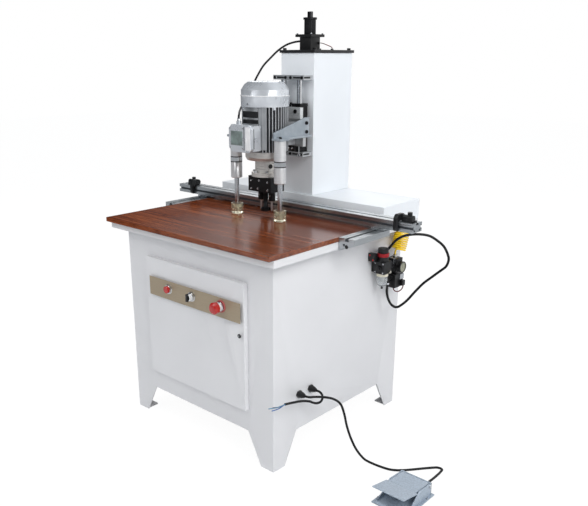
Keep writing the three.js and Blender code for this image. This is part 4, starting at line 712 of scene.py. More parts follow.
AIR_HOSE = [
    (398, 216, 535.7), (398, 216, 527.7), (404, 205, 505), (409, 210, 476), (419, 219, 454), (432, 230, 446),
    (446, 243, 456), (461, 257, 475), (477, 272, 502), (500, 293, 537), (520, 311, 559), (542, 331, 583),
    (556, 344, 599), (562, 349, 624), (558, 346, 645), (546, 335, 674), (529, 319, 694), (508, 300, 711),
    (483, 277, 717), (459, 255, 716), (439, 237, 710), (420, 220, 694), (406, 211, 672), (390, 208, 655),
    (368.3, 208, 652), (360.3, 208, 652)]


def hermite(start, heading, end, arrival, count):
    reach = (end - start).length / 3
    a, b = start + heading * reach, end - arrival * reach
    points = []
    for i in range(count + 1):
        t = i / count
        s = 1 - t
        points.append(start * s ** 3 + a * (3 * s * s * t) + b * (3 * s * t * t) + end * t ** 3)
    return points


def recoil_route(tube=3.2, radius=25.0, pitch=7.6, last=8.25, lean=0.36, lead=14.0, offset=18.0, per_turn=16):
    """Straight leads, and between them curls that climb along a leaning axis, in millimetres."""
    start = Vector((398, 256, 634.3))
    axis = Vector((0, lean, 1)).normalized()
    across = Vector((1, 0, 0))
    along = axis.cross(across)
    foot = Vector((398, 256 + offset, start.z + lead))
    first = -1 / 6

    def at(turn):
        a = 2 * pi * turn
        return foot + axis * (pitch * (turn - first)) + radius * (across * cos(a) + along * sin(a))

    def heading(turn):
        return (at(turn + 0.01) - at(turn - 0.01)).normalized()

    up = Vector((0, 0, 1))
    lead_in = start + up * 2 * tube
    points = [start] + hermite(lead_in, up, at(first), heading(first), 8)
    count = round((last - first) * per_turn)
    points += [at(first + i / count * (last - first)) for i in range(1, count)]
    wall = Vector((360.3, at(last).y, at(last).z))
    points += hermite(at(last), heading(last), wall + across * 2 * tube, -across, 8)
    return points + [wall]


# The photograph's camera: its size, focal length and centre in pixels, its place in millimetres, and how many
# degrees it looks down and round
PHOTO_SIZE = (588, 506)
FOCAL_LENGTH = 705.19
PHOTO_CENTRE = (278.22, 286.0)
EYE = (1740.4, -1838.09, 1304.66)
EYE_DOWN = 17.894
EYE_ROUND = 42.403


def studio_lamp(name, spot, target, size, watts):
    data = bpy.data.lights.new(name, "AREA")
    data.shape = "DISK"
    data.size = size
    data.energy = watts
    lamp = placed(name, data)
    lamp.location = place(*spot)
    lamp.rotation_euler = (place(*target) - place(*spot)).to_track_quat("-Z", "Y").to_euler()


def studio_world(scene):
    world = bpy.data.worlds.new("studio")
    world.use_nodes = True
    tree = world.node_tree
    tree.nodes.clear()
    path = add(tree, "ShaderNodeLightPath").outputs
    seen = add(
        tree, "ShaderNodeMath", {"operation": "MAXIMUM"},
        links={0: path["Is Camera Ray"], 1: path["Is Transmission Ray"]})
    soft = add(tree, "ShaderNodeBackground", inputs={"Color": (0.95, 0.97, 1.0, 1), "Strength": 0.44})
    white = add(tree, "ShaderNodeBackground", inputs={"Color": (1, 1, 1, 1), "Strength": 1.0})
    mirrored = add(tree, "ShaderNodeBackground", links={"Color": studio_backdrop(tree)})
    plain = add(tree, "ShaderNodeMixShader", links={0: path["Is Glossy Ray"], 1: soft, 2: mirrored})
    mixed = add(tree, "ShaderNodeMixShader", links={0: seen, 1: plain, 2: white})
    add(tree, "ShaderNodeOutputWorld", links={"Surface": mixed})
    scene.world = world


def studio_backdrop(tree):
    """The white backdrop as metal shows it: white on one side, grey far round it and overhead."""
    ray = add(tree, "ShaderNodeTexCoord").outputs["Generated"]
    turned = add(
        tree, "ShaderNodeMapping", {"vector_type": "NORMAL"}, {"Rotation": (0, 0, radians(-55))}, {"Vector": ray})
    parts = add(tree, "ShaderNodeSeparateXYZ", links={"Vector": turned}).outputs
    side = between(tree, parts["X"], linear("4A4F55"), linear("FFFFFF"), -0.3, 0.4)
    above = between(tree, parts["Z"], linear("FFFFFF"), linear("C4C8CC"), 0.35, 0.95)
    return multiplied(tree, 1.0, side, above)


def studio_floor():
    """A white floor that keeps the object's shadow but runs out into the white background."""
    shape = bmesh.new()
    bmesh.ops.create_grid(shape, x_segments=1, y_segments=1, size=14.0)
    mesh = bpy.data.meshes.new("floor")
    shape.to_mesh(mesh)
    shape.free()
    ground = placed("floor", mesh)

    def paint(tree):
        path = add(tree, "ShaderNodeLightPath")
        pale = add(tree, "ShaderNodeBsdfDiffuse", inputs={"Color": (0.86, 0.87, 0.88, 1)})
        glow = add(tree, "ShaderNodeEmission", inputs={"Color": (1, 1, 1, 1), "Strength": 1.08})
        share = add(tree, "ShaderNodeMath", {"operation": "MULTIPLY"}, {1: 0.88}, {0: path.outputs["Is Camera Ray"]})
        return add(tree, "ShaderNodeMixShader", links={0: share, 1: pale, 2: glow})

    mesh.materials.append(finish("white_studio_floor", paint))


class BORING_OT_stage(bpy.types.Operator):
    """Sets the camera, the soft studio light and the white floor and backdrop"""
    bl_idname = "boring.stage"
    bl_label = "Camera, light and floor"

    def execute(self, context):
        scene = context.scene
        scene.view_settings.view_transform = "Standard"
        lens = bpy.data.cameras.new("camera")
        wide, tall = PHOTO_SIZE
        lens.sensor_width = 36.0
        lens.lens = FOCAL_LENGTH * lens.sensor_width / wide
        lens.shift_x = (wide / 2 - PHOTO_CENTRE[0]) / wide
        lens.shift_y = (PHOTO_CENTRE[1] - tall / 2) / wide
        lens.clip_start, lens.clip_end = 0.05, 60.0
        eye = placed("camera", lens)
        eye.location = place(*EYE)
        eye.rotation_euler = (radians(90 - EYE_DOWN), 0, radians(EYE_ROUND))
        scene.camera = eye
        studio_lamp("key", (3200, -900, 3000), (0, 0, 900), 2.4, 90)
        studio_lamp("fill", (-500, -2800, 3000), (0, 0, 1000), 2.4, 34)
        studio_lamp("rim", (-1800, 2200, 2900), (0, 0, 900), 2.0, 30)
        studio_world(scene)
        studio_floor()
        return {"FINISHED"}


def lay_cord(name, route, total, radius, material, slot="black_rubber", **words):
    """A cord along its route in metres, which replaces the solid of that name if there is one."""
    solid = name in frame["nodes"]
    made = strand(name + "_skin" * solid, route, radius, material, "machine")
    if solid:
        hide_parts(name)


def limit_wires():
    """The limit switch's two thin wires: out of the box's side, over the cap and down through a grommet."""
    for name, code, aside in (("wire_dark", "141416", 0.0), ("wire_red", "C4302A", 2.4)):
        points = [
            (28.5, 256 + aside, 1357), (34, 257 + aside, 1357.5), (44, 262 + aside, 1355), (55, 269 + aside, 1350),
            (66, 273 + aside, 1345.5), (73, 273.5 + aside / 2, 1342), (76.3, 271.5 + aside / 2, 1338.5),
            (76.6, 270.6 + aside / 2, 1334.6)]
        lay_cord(name, *smooth_route(points, 0.003), 0.0012, jacket("pvc_" + name, code, 0.4), stiffness="limp")


def motor_cable(black):
    """The cable from the motor to the switch box, laid along one fixed route."""
    route, total = smooth_route(MOTOR_CABLE, 0.006)
    made = link("motor_cable_skin", sweep(route, 0.0036), black, None)
    made.data.shade_smooth()
    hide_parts("motor_cable")
    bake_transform(made)


def mains_cord(black):
    """The mains cord with its three bare cores."""
    tip = Vector(MAINS_CORD[-1])
    cores = []
    for name, code, end in (
            ("core_blue", "3C66A8", (401, -401, 262)), ("core_brown", "5A4A48", (399, -394, 270)),
            ("core_green", "5B86A0", (402, -416, 276))):
        goal = Vector(end)
        route = [tip + Vector((0, 3, 0)), tip, tip.lerp(goal, 0.5) + Vector((1, 0, -3)), goal]
        shape = sweep(smooth_route(route, 0.004)[0], 0.0016, 10)
        core = link("mains_" + name, shape, jacket("pvc_" + name, code, 0.4), "machine")
        core.data.shade_smooth()
        cores.append(core)
    lay_cord("mains_cord", *smooth_route(MAINS_CORD, 0.016), 0.004, black, far_end="bare", with_pieces=cores)


class BORING_OT_cords(bpy.types.Operator):
    """Lays the motor cable, the two hoses and the two cords along their routes"""
    bl_idname = "boring.cords"
    bl_label = "Cords and hoses"

    def execute(self, context):
        black = jacket("black_cable_jacket", "121214")
        tube = jacket("black_polyurethane_tube", "0E0E10", 0.3)
        motor_cable(black)
        lay_cord("pedal_cord", *smooth_route(PEDAL_CORD, 0.016), 0.004, black)
        lay_cord("air_hose", *smooth_route(AIR_HOSE, 0.016), 0.0046, tube, stiffness="stiff")
        coils = [place(*p) for p in recoil_route()]
        run = sum((b - a).length for a, b in zip(coils, coils[1:]))
        lay_cord("recoil_hose", coils, run, 0.0032, recoil_tube(), "yellow_hose", stiffness="stiff", lay="coiled")
        mains_cord(black)
        limit_wires()
        return {"FINISHED"}


class BORING_OT_table(bpy.types.Operator):
    """Dresses the cabinet, the top frame, the work board and the plinth"""
    bl_idname = "boring.table"
    bl_label = "Cabinet and table"

    def execute(self, context):
        dress("cabinet top_frame", powder_coat(), "sheet")
        dress("plinth", column_coat(), "sheet")
        dress("work_board", laminate(), "board", 4)
        return {"FINISHED"}


UP, FRONT, REAR = (0, 0, 1), (0, -1, 0), (0, 1, 0)

# Places that several pieces share: the axes of the filter, the stops and the treadle, and the switches' height
FILTER_AXIS = (398, 180, 0)
STOP_AXIS = (0, 98, 814.3)
PEDAL_PIVOT = (0, -120, 38)
SWITCH_LEVEL = 543


def widened(node, half_width, front):
    """The column or its cap at the width and depth photographed: a few millimetres more than the solid's."""
    shape = merged_copy(node)
    solid_half = middle(node, "+x")[0]
    solid_front, rear = middle(node, "-y")[1], middle(node, "+y")[1]
    for vert in shape.verts:
        x, y = (vert.co.x - AXIS_X) * 1000, (vert.co.y - AXIS_Y) * 1000
        share = (rear - y) / (rear - solid_front)
        vert.co = place(x * half_width / solid_half, rear - share * (rear - front), vert.co.z * 1000)
    return shape


class BORING_OT_column(bpy.types.Operator):
    """Dresses the column, its cap, the switch box and the stroke nut"""
    bl_idname = "boring.column"
    bl_label = "Column and stroke stop"

    def execute(self, context):
        dress("column", column_coat(), "sheet", form=widened("column", 78, 170))
        dress("column_cap", black_enamel(), "cast", form=widened("column_cap", 83, 165))
        dress("switch_box", moulded("black_glass_filled_nylon", "0D0D0F", 0.42), "cast")
        dress("stroke_nut", black_oxide(), "cut")
        dress("feed_cylinder", turned_aluminium(), "cut")
        dress("feed_rod", black_oxide(), "cut")
        cap = middle("column_cap", "+z")[2]
        spots = [((x, y, cap), UP) for x in (-70, 70) for y in (180, 380)]
        fasteners("cap_bolts", "machine", spots, 6.5, 6.0, 3.2, slot="black_paint", material=black_oxide())
        spots = [((x, y, 1386.9), UP) for x in (-32, 32) for y in (206, 270)]
        fasteners("switch_box_screws", "machine", spots, 3.4, 3.2, 1.6)
        grommet = lathe([(5.5, 1334), (5.5, 1336), (4.2, 1337.5), (2.4, 1337.5), (2.4, 1334)], (77, 271, 0), steps=24)
        outlet = lathe([(4.5, 26), (4.5, 28.5), (3.4, 30), (0, 30), (0, 26)], (0, 256, 1357), "X", 20)
        rubber = jacket("black_rubber_grommet", "101012")
        piece("wire_grommets", joined(grommet, outlet), rubber, "machine")
        return {"FINISHED"}


def plate_slot_shade(node):
    """Black strips that paint the shade at the bottom of a guide plate's slots, and the screws that hold the plate."""
    low, high = middle(node, "-z")[2], middle(node, "+z")[2]
    level = (low + high) / 2
    # painted shade: black strips in the plate's slots
    strips = [slab(x - 16.9, x + 16.9, 121.2, 128.9, level - 2.9, level + 2.9) for x in (-38, 38)]
    strips += [slab(*sorted((x, x * 68 / 71.4)), 123.2, 156.8, level - 2.9, level + 2.9) for x in (-71.4, 71.4)]
    piece(node + "_linings", joined(*strips), black_enamel(), "machine")
    spots = [((x, 120, level), FRONT) for x in (-64, -12, 12, 64)]
    fasteners(node + "_screws", "machine", spots, 4.6, 3.5, 2.2, slot="black_oxide", material=black_oxide())


def air_manifold():
    """The clamps' air manifold under the carriage plate, with its push-in fittings and one loop of tube."""
    block = slab(-4, 46, 105, 119.4, 984, 1003.8)
    piece("air_manifold", block, black_enamel(), "head", 1.2)
    profile = [(0, 105.5), (4.6, 105.5), (4.6, 99), (3.4, 97.5), (0, 97.5)]
    ports = [lathe(profile, (x, 0, 996), "Y", 20) for x in (6, 21, 36)]
    piece("manifold_fittings", joined(*ports), zinc(), "head")
    loop = [
        (6, 99, 996), (6, 92, 996), (9, 86, 990), (16, 84, 982), (26, 84, 982), (33, 86, 990), (36, 92, 996),
        (36, 99, 996)]
    tube = sweep(smooth_route(loop, 0.003)[0], 0.002, 10)
    piece("manifold_tube", tube, jacket("black_air_tube", "0C0C0E", 0.35), "head")


def spring_eye():
    """A bright eye rod that hangs from the carriage plate's right side."""
    rod = sweep([place(60, 112, z) for z in (1004.5, 990, 976.5)], 0.0022, 12)
    piece("eye_rod", joined(rod, hoop((60, 112, 971), FRONT, 5.0, 1.6)), zinc(), "head")


class BORING_OT_guide(bpy.types.Operator):
    """Dresses the guide plates, rods and blocks and the carriage plate"""
    bl_idname = "boring.guide"
    bl_label = "Guide and carriage"

    def execute(self, context):
        for node in ("guide_plate_upper", "guide_plate_lower"):
            dress(node, cast_silver(), "cut")
            plate_slot_shade(node)
        dress("guide_block_left guide_block_right", black_oxide(), "cut")
        dress("guide_rod_left guide_rod_right", ground_steel())
        dress("carriage_plate", milled_steel(), "cut")
        dark = {"slot": "black_oxide", "material": black_oxide()}
        fasteners("carriage_screws", "head", [((x, 103.7, 1125), FRONT) for x in (-49, 49)], 6.4, 3.0, 3.2, **dark)
        tab = slab(-72, 72, 103.7, 119.7, 1099.5, 1139)
        piece("carriage_tab", tab, bright_milling(), "head", sizes().cut_edge * 1000)
        air_manifold()
        spring_eye()
        return {"FINISHED"}


def terminal_form():
    """The box as tall as the one photographed: its lid and back let down towards the pad's foot."""
    shape = merged_copy("terminal_box")
    middle_height = (middle("terminal_box", "-z")[2] + middle("terminal_box", "+z")[2]) / 2
    for vert in shape.verts:
        vert.co.z -= 0.018 if vert.co.z * 1000 < middle_height else 0.006
    return shape


def terminal_cover():
    """The bare grey-green panel on the terminal box, and the cable's screwed gland."""
    panel = slab(-44, 12, -126.1, -125.2, 1021, 1069)
    piece("terminal_panel", panel, panel_paint(), "head", 0.6)
    rail = slab(26, 49, -126.6, -125.2, 1006, 1084)
    piece("terminal_rail", rail, bright_trim_and_highlight(), "head", 0.8)
    # painted shade: black strips that paint a shade line on the box's front and one near the lid's back edge
    shade_lines = [slab(18, 20.5, -125.7, -125.2, 1006, 1084), slab(54.2, 55.4, -115.5, -112.6, 1012, 1078)]
    piece("terminal_lining", joined(*shade_lines), black_enamel(), "head")
    gland = lathe(
        [(5.6, 1098.5), (5.6, 1104), (5, 1105), (5, 1109), (4.2, 1110), (3.7, 1110), (3.7, 1098.5)],
        (-36, -94.3, 0), steps=24)
    piece("terminal_gland", gland, zinc(), "head")


def motor_screws():
    """The motor's bright screws: on the panel, on the cowl's rim and round the spindle flange."""
    spots = [((x, -125.3, z), FRONT) for x in (-48, 14) for z in (1012, 1078)]
    fasteners("panel_screws", "head", spots, 2.4, 1.4, socket=1.1)
    spots = []
    for k in range(3):
        a = radians(120 * k - 90)
        way = (cos(a), sin(a), 0)
        spots.append(((84.4 * way[0], 84.4 * way[1], 1156.7), way))
    fasteners("cowl_screws", "head", spots, 3.6, 2.4, socket=1.6)
    spots = []
    for k in range(6):
        a = radians(60 * k - 40)
        spots.append(((43.6 * cos(a), 43.6 * sin(a), 918.9), UP))
    fasteners("flange_bolts", "head", spots, 4.9, 4.4, sides=6)
    a = radians(-17)
    way = (cos(a), sin(a), 0)
    plug = [((34.6 * way[0], 34.6 * way[1], 941), way)]
    fasteners("sight_plug", "head", plug, 8.2, 2.2, washer=1.05, slot="black_plastic", material=black_rubber())


class BORING_OT_motor(bpy.types.Operator):
    """Dresses the motor, its cowl, rotor, end shield and terminal box"""
    bl_idname = "boring.motor"
    bl_label = "Motor"

    def execute(self, context):
        dress("motor_body", finned_casting(), "cut")
        dress("fan_cowl", cowl_silver(), "cut")
        dress("rotor_shaft", milled_steel())
        dress("end_shield", shield_casting(), "cut")
        dress("terminal_box", cowl_silver(), "cast", 3, form=terminal_form())
        bands = [sector(72, 78.5, start, stop, 1003, 1145.8) for start, stop in ((-64, -43), (-137, -116))]
        piece("casing_bands", joined(*bands), cast_silver(), "head", 1.0)
        # painted shade: black blocks in the grooves of the terminal box's pad
        groove_shade = [slab(-33.2, 33.2, -76.4, -70, low, high) for low, high in ((1091, 1105), (1111.5, 1132.4))]
        piece("pad_grooves", joined(*groove_shade), black_enamel(), "head")
        # painted highlight: the ring is near-white where the cowl's fillet catches the light
        ring = lathe([(84.9, 1181), (86.1, 1181.6), (86.1, 1184.2), (84.9, 1184.8)], (0, 0, 0), steps=96)
        piece("cowl_ring", ring, bright_trim_and_highlight(), "head")
        lugs = []
        for k in range(4):
            lug = slab(75, 83.5, -4, 4, 1137, 1147)
            bmesh.ops.rotate(
                lug, verts=lug.verts, cent=place(0, 0, 0), matrix=Matrix.Rotation(radians(90 * k - 24), 3, "Z"))
            lugs.append(lug)
        piece("cowl_lugs", joined(*lugs), cowl_silver(), "head", 1.0)
        terminal_cover()
        motor_screws()
        return {"FINISHED"}


class BORING_OT_gear_head(bpy.types.Operator):
    """Dresses the gear head, the spindles, the cup cutter and the side bits"""
    bl_idname = "boring.gear_head"
    bl_label = "Gear head and tools"

    def execute(self, context):
        dress("gear_head", black_oxide(), "cut")
        dress("centre_spindle side_spindle_left side_spindle_right cup_cutter", black_oxide())
        dress("side_bit_left side_bit_right", milled_steel())
        places = [(x, z) for x in (-40, 40) for z in (887.5, 858.5)] + [(0, 890), (-7.6, 860.6)]
        fasteners("head_screws", "head", [((x, -32, z), FRONT) for x, z in places], 3.3, 2.6, 1.7)
        for side, x in (("left", -26), ("right", 26)):
            spots = [((x, -6.4, 834), FRONT), ((x, 17.4, 834), REAR)]
            fasteners("chuck_screws_" + side, "side_spindle_" + side, spots, 2.6, 1.6, socket=1.2)
        return {"FINISHED"}


class BORING_OT_clamps(bpy.types.Operator):
    """Dresses the clamp arms, cylinders, rods and feet"""
    bl_idname = "boring.clamps"
    bl_label = "Clamps"

    def execute(self, context):
        for side, sign in (("left", -1), ("right", 1)):
            dress("clamp_arm_" + side, arm_paint(), "cast", 3)
            dress("clamp_cylinder_" + side, turned_aluminium())
            dress("clamp_rod_" + side, ground_steel())
            dress("clamp_foot_" + side, polyurethane())
            centre = (sign * 106.5, -40, 0)
            seals = [
                lathe([(20.2, z - 1.45), (21.2, z - 1.45), (21.2, z + 1.45), (20.2, z + 1.45)], centre, steps=48)
                for z in (967.7, 950.0)]
            piece("cylinder_seals_" + side, joined(*seals), black_rubber(), "head")
            band = lathe([(20.9, 951.8), (21.3, 952.2), (21.3, 965.4), (20.9, 965.8)], centre, steps=64)
            piece("cylinder_band_" + side, band, polished(), "head")
            web = sign * 92.8
            dark = {"slot": "black_oxide", "material": black_oxide()}
            spots = [((web, y, z), (sign, 0, 0)) for y, z in ((113.4, 1086.9), (114.1, 1056.4))]
            fasteners("arm_bolts_" + side, "head", spots, 5.6, 4.5, 2.9, **dark)
            spots = [((sign * x, y, 1046), UP) for x, y in ((101, -33), (117, -48))]
            fasteners("arm_nuts_" + side, "head", spots, 4.4, 3.4, 2.3, **dark)
        return {"FINISHED"}


def stop_slide(sign, inner):
    """A stop's slide: foot and tee on the beam, barrel on its saddle, and the fluted knob on its stud."""
    near, far = sign * (inner + 14.3), sign * (inner + 55.3)
    left, right = sorted((near, far))
    start, end = sorted((sign * (inner - 0.3), sign * (inner + 55)))
    knob_x = sign * (inner + 36)
    flutes = [
        (knob_x + r * cos(a), 104.5 + r * sin(a))
        for r, a in ((8 if k % 4 < 2 else 7.1, 2 * pi * k / 48) for k in range(48))]
    return joined(
        slab(left, right, 89.5, 119.5, 801.3, 805), slab(left, right, 100.8, 108.2, 798.4, 801.6),
        drum(9, start, end, STOP_AXIS, "X"), slab(left, right, 89, 107, 801.3, 814.3),
        drum(4, 801.3, 819, (knob_x, 104.5, 0), steps=24), pull(flutes, "Z", 818.8, 831.5))


def stop_arm(sign, inner):
    """A stop's flip arm: the hub on the barrel and the hook that hangs in front of the beam."""
    left, right = sorted((sign * inner, sign * (inner + 14)))
    hook = [
        (98, 826.3), (72.4, 826.3), (65.3, 819.8), (62, 813.3), (62, 776.5), (68.5, 770), (72.8, 770), (75, 776.5),
        (75, 803.3), (98, 803.3)]
    return joined(drum(12, left, right, STOP_AXIS, "X"), pull(hook, "X", left, right))


def slot_floor_shade():
    """Painted shade on the slots' floors: dark sheets where little light gets in."""
    # painted shade: dark strips on the floors of the fence's slots
    strips = [
        slab(-572, 572, 82.7, 83.5, 777.7, 792.3), slab(-572, 572, 125.5, 126.3, 777.7, 792.3),
        slab(-572, 572, 97.2, 111.8, 793.5, 794.3)]
    piece("fence_slot_floors", joined(*strips), slot_shade_anodising(), "fence")
    # painted shade: dark strips on the floors of the side bars' slots
    strips = [slab(x - 7.8, x + 7.8, -86.4, 107.4, 750.1, 750.9) for x in (-435.4, 435.4)]
    piece("bar_slot_floors", joined(*strips), slot_shade_anodising(), "machine")


def fence_screws():
    """Screws in the fence's shoes and in the ends of the side bars."""
    spots = [((sign * x, 80, 764.6), FRONT) for sign in (-1, 1) for x in (424, 447)]
    fasteners("shoe_screws", "fence", spots, 2.8, 2.0, socket=1.3)
    spots = [((sign * 435.4, -87, 733), FRONT) for sign in (-1, 1)]
    fasteners("bar_screws", "machine", spots, 5.4, 1.2, 2.2, slot="black_oxide", material=black_rubber())


class BORING_OT_fence(bpy.types.Operator):
    """Dresses the side bars, the fence and its stops"""
    bl_idname = "boring.fence"
    bl_label = "Fence and stops"

    def execute(self, context):
        bar = brushed_aluminium("anodised_aluminium_bar", (650, 8, 650))
        beam = brushed_aluminium("anodised_aluminium_beam", (8, 650, 650))
        for side in ("left", "right"):
            dress("side_bar_" + side, bar, "cut")
            sign, inner = (-1, 476) if side == "left" else (1, 508)
            dress("stop_slide_" + side, black_enamel(), "cast", form=stop_slide(sign, inner))
            dress("stop_arm_" + side, black_enamel(), "cast", form=stop_arm(sign, inner))
        dress("fence_beam", beam, "cut")
        slot_floor_shade()
        fence_screws()
        return {"FINISHED"}


class BORING_OT_door(bpy.types.Operator):
    """Dresses the door and its switches and adds the bare control plate"""
    bl_idname = "boring.door"
    bl_label = "Door and switches"

    def execute(self, context):
        dress("door", powder_coat(), "sheet")
        dress("push_button", red_plastic(), "cut")
        dress("selector_switch", moulded("black_moulded_knob", "0B0B0C", 0.3), "cut")
        knob_x = middle("selector_switch", "-y")[0]
        sleeve = lathe([(9.5, -385), (12.9, -385.4), (12.9, -395), (9.5, -395.6)], (knob_x, 0, SWITCH_LEVEL), "Y", 40)
        piece("selector_sleeve", sleeve, bright_trim_and_highlight(), "selector_switch")
        dress("emergency_stop", red_plastic(), "cut")
        piece("control_plate", slab(-214, 243, -377.0, -375.8, 503, 571), brushed_plate(), "door", 0.4)
        bezels = []
        for node in ("push_button", "selector_switch", "emergency_stop"):
            x, _, _ = middle(node, "-y")
            bezels.append(lathe(
                [(17, -377), (17, -378.6), (15.6, -379.4), (15.6, -384), (14.9, -384.8), (13.05, -384.8),
                 (13.05, -377)], (x, 0, SWITCH_LEVEL), "Y", 48))
        piece("switch_bezels", joined(*bezels), polished(), "door")
        stop = middle("emergency_stop", "-y")[0]
        collar = lathe([(21, -377), (21, -380), (17.2, -381), (17.2, -377)], (stop, 0, SWITCH_LEVEL), "Y", 48)
        piece("stop_collar", collar, jacket("pale_red_collar", "B9605E", 0.35), "door")
        sleeve = lathe([(11.6, -385), (12.9, -385.6), (12.9, -400), (11.6, -400.6)], (stop, 0, SWITCH_LEVEL), "Y", 48)
        piece("stop_sleeve", sleeve, bright_trim_and_highlight(), "emergency_stop")
        lock = lathe([(0, -376), (7, -376), (7, -378.5), (6, -379.4), (0, -379.4)], (238, 0, 461), "Y", 32)
        piece("door_lock", lock, black_enamel(), "door")
        key = slab(236.9, 239.1, -379.8, -379.3, 457.5, 464.5)
        piece("lock_slot", key, zinc(), "door")
        return {"FINISHED"}


def filter_parts(black):
    """The head in black, cut off from its bowl, which is made anew as a clear, hollow one."""
    shape = merged_copy("air_filter")
    everything = shape.verts[:] + shape.edges[:] + shape.faces[:]
    cut = bmesh.ops.bisect_plane(
        shape, geom=everything, plane_co=place(0, 0, 580.8), plane_no=(0, 0, 1), clear_inner=True)
    rim = [item for item in cut["geom_cut"] if isinstance(item, bmesh.types.BMEdge)]
    bmesh.ops.edgenet_fill(shape, edges=rim)
    bmesh.ops.recalc_face_normals(shape, faces=shape.faces)
    made = soften(link("air_filter_skin", shape, black, "machine"), sizes().cut_edge)
    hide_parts("air_filter")
    bowl = lathe(
        [(0, 529), (6.5, 529), (16.6, 536.8), (19.5, 555), (19.5, 580.6), (17.3, 580.6), (17.3, 555), (14.6, 539),
         (0, 531.4)], FILTER_AXIS, steps=48)
    piece("filter_bowl", bowl, clear_bowl(), "machine")
    element = lathe([(0, 548), (8, 548), (8, 580.5), (0, 580.5)], FILTER_AXIS, steps=32)
    piece("filter_element", element, sintered_white(), "machine", 0.6)
    collar = lathe([(19.6, 570), (21, 570.8), (21, 580), (19.6, 580.7)], FILTER_AXIS, steps=48)
    piece("bowl_collar", collar, cream_plastic(), "machine")
    drain = lathe([(0, 522), (4, 522), (4, 527), (6, 528.6), (0, 528.6)], FILTER_AXIS, steps=20)
    piece("bowl_drain", drain, black, "machine")
    bracket = [slab(361, 390, 141, 157, 624, 655), slab(361, 376, 157, 168, 630, 650)]
    piece("filter_bracket", joined(*bracket), black, "machine", 1.5)
    buttons = [drum(3.2, 140.2, 141.2, (x, 0, z), "Y", 20) for x, z in ((369, 648), (382, 632))]
    piece("bracket_buttons", joined(*buttons), red_plastic(), "machine")
    spots = [((x, 158, z), FRONT) for x in (381.5, 414.5) for z in (586.5, 619.5)]
    fasteners("filter_screws", "machine", spots, 2.6, 2.0, socket=1.3)


def gauge():
    """The pressure gauge: rim, olive-grey dial with plain marks, and needle; the dial's glossy coat stands for its
    clear front.
    """
    middle_y, middle_z = 256, 592
    rim = lathe(
        [(20.6, 431), (20.6, 434), (19.6, 434.8), (17.6, 434.8), (17.6, 431)], (0, middle_y, middle_z), "X", 48)
    piece("gauge_rim", rim, black_enamel(), "machine")
    dial = lathe([(0, 431.8), (17.7, 431.8), (17.7, 432.6), (0, 432.6)], (0, middle_y, middle_z), "X", 48)
    piece("gauge_dial", dial, dial_paint(), "machine")
    marks = []
    for k in range(9):
        mark = slab(432.5, 432.9, middle_y - 0.5, middle_y + 0.5, middle_z + 12.5, middle_z + 16)
        bmesh.ops.rotate(
            mark, verts=mark.verts, cent=place(0, middle_y, middle_z),
            matrix=Matrix.Rotation(radians(240 * k / 8 - 120), 3, "X"))
        marks.append(mark)
    marks.append(slab(432.9, 433.3, middle_y - 0.6, middle_y + 0.6, middle_z - 3, middle_z + 13))
    piece("gauge_marks", joined(*marks), black_enamel(), "machine")


def fittings():
    """Push-in fittings, the bulkhead nut of the hose, the valve's bracket, coil block and small tube."""
    brass_parts = [
        lathe([(6.2, 621.8), (8.6, 621.8), (8.6, 629), (7.4, 630.2), (7.4, 634), (6.2, 634)], (398, 256, 0), steps=6),
        lathe([(0, 419.5), (5.4, 419.5), (5.4, 427), (4, 428), (0, 428)], (0, 188, 587), "X", 20)]
    piece("brass_fittings", joined(*brass_parts), brass(), "machine", 0.4)
    bright = [
        lathe([(4.8, 360.4), (10.5, 360.4), (10.5, 366.5), (8, 368), (8, 371), (4.8, 371)], (0, 208, 652), "X", 6),
        lathe([(4.7, 529), (7.4, 529), (8, 530), (8, 535.5), (4.7, 535.5)], (398, 216, 0), steps=24),
        slab(419.8, 423.5, 258, 282, 543, 562), slab(396, 412, 227, 236.2, 606, 626)]
    piece("bright_fittings", joined(*bright), zinc(), "machine", 0.5)
    coil = slab(419.9, 432, 262, 280, 519, 539)
    piece("valve_coil", coil, moulded("black_coil_housing", "0C0C0E", 0.38), "machine", 1.6)
    loop = [
        (408, 240, 515.2), (409, 240, 508), (414, 243, 501), (422, 250, 499), (428, 259, 504), (430, 267, 512),
        (430, 270, 519.5)]
    tube = sweep(smooth_route(loop, 0.003)[0], 0.0021, 12)
    piece("valve_tube", tube, jacket("dark_red_tube", "5E1A1E", 0.35), "machine")


class BORING_OT_air_unit(bpy.types.Operator):
    """Dresses the air filter with its clear bowl, the pressure knob, the regulator and the glands"""
    bl_idname = "boring.air_unit"
    bl_label = "Air unit"

    def execute(self, context):
        black = moulded("black_moulded_polyamide", "0E0E10", 0.4)
        filter_parts(black)
        dress("regulator_knob", black, "cut")
        ring = lathe(
            [(20.6, 641.6), (21.4, 642.4), (21.4, 653.4), (20.6, 654.2), (18, 654.2), (18, 641.6)], FILTER_AXIS)
        piece("knob_ring", ring, jacket("dark_red_ring", "A8262C", 0.35), "regulator_knob")
        dress("air_regulator", black, "cut")
        gauge()
        fittings()
        dress("gland_pedal gland_mains", black, "cut")
        return {"FINISHED"}


def base_form():
    """The base: a floor with lips, two shaped cheeks, a rear wall and the switch under the treadle."""
    cheek = [(-266, 0), (-110, 0), (-110, 46), (-131, 46), (-182, 50), (-218, 20)]
    cheeks = [pull(cheek, "X", x, x + 4) for x in (701, 807)]
    return joined(
        *cheeks, slab(693, 819, -266, -102, 0, 4), slab(701, 811, -114, -110, 0, 46),
        slab(701, 811, -266, -262, 0, 12), slab(738, 774, -175, -145, 2, 28))


def treadle_form():
    """The treadle: a sloping plate, narrower between the cheeks, rolled round its pivot pin at the back."""
    broad = [(-275, 62), (-196, 46.6), (-196, 50.6), (-275, 66)]
    tail = [(-196.3, 46.6), (-120, 42), (-120, 46), (-196.3, 50.6)]
    return joined(
        pull(broad, "X", 699.5, 812.5), pull(tail, "X", 707, 805), drum(8, 707, 805, PEDAL_PIVOT, "X", 40),
        drum(4, 702, 810, PEDAL_PIVOT, "X", 24))


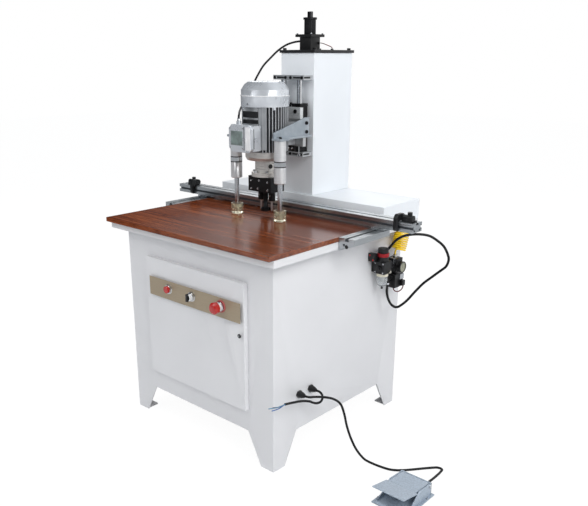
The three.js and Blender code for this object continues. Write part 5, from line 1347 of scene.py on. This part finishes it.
class BORING_OT_foot_switch(bpy.types.Operator):
    """Dresses the foot switch"""
    bl_idname = "boring.foot_switch"
    bl_label = "Foot switch"

    def execute(self, context):
        dress("pedal_base", hammered(), "cast", form=base_form())
        dress("treadle", hammered(), "cast", form=treadle_form())
        ends = [drum(5.4, a, b, PEDAL_PIVOT, "X", 24) for a, b in ((699.4, 701.2), (810.8, 812.6))]
        piece("pin_ends", joined(*ends), zinc(), "machine", 0.4)
        gland = lathe(
            [(8, -110.2), (8, -105), (6.6, -103.8), (6.6, -99), (5, -97.5), (4.15, -97.5), (4.15, -110.2)],
            (784, 0, 23), "Y", 24)
        piece("pedal_gland", gland, moulded("black_moulded_polyamide", "0E0E10", 0.4), "machine")
        spots = [((x, y, 4.2), UP) for y in (-140, -235) for x in (697, 815)]
        fasteners("pedal_screws", "machine", spots, 2.6, 2.0, socket=1.3)
        return {"FINISHED"}


class BORING_PT_panel(bpy.types.Panel):
    """Lists the machine's pieces, sizes and colours"""
    bl_idname = "BORING_PT_panel"
    bl_label = "Boring machine"
    bl_space_type = "VIEW_3D"
    bl_region_type = "UI"
    bl_category = "Boring machine"

    def draw(self, context):
        for operator in OPERATORS:
            self.layout.operator(operator.bl_idname, text=operator.bl_label)
        for group in (context.scene.boring_machine_sizes, context.scene.boring_machine_colours):
            for key in group.__annotations__:
                self.layout.prop(group, key)


OPERATORS = (
    BORING_OT_stage, BORING_OT_cords, BORING_OT_table, BORING_OT_column, BORING_OT_guide, BORING_OT_motor,
    BORING_OT_gear_head, BORING_OT_clamps, BORING_OT_fence, BORING_OT_door, BORING_OT_air_unit, BORING_OT_foot_switch)
CLASSES = (BoringMachineColours, BoringMachineSizes) + OPERATORS + (BORING_PT_panel,)


def register():
    for item in CLASSES:
        bpy.utils.register_class(item)
    bpy.types.Scene.boring_machine_colours = PointerProperty(type=BoringMachineColours)
    bpy.types.Scene.boring_machine_sizes = PointerProperty(type=BoringMachineSizes)


def unregister():
    del bpy.types.Scene.boring_machine_sizes
    del bpy.types.Scene.boring_machine_colours
    for item in reversed(CLASSES):
        bpy.utils.unregister_class(item)


def main():
    register()
    for operator in OPERATORS:
        group, name = operator.bl_idname.split(".")
        getattr(getattr(bpy.ops, group), name)()


if __name__ == "__main__":
    main()
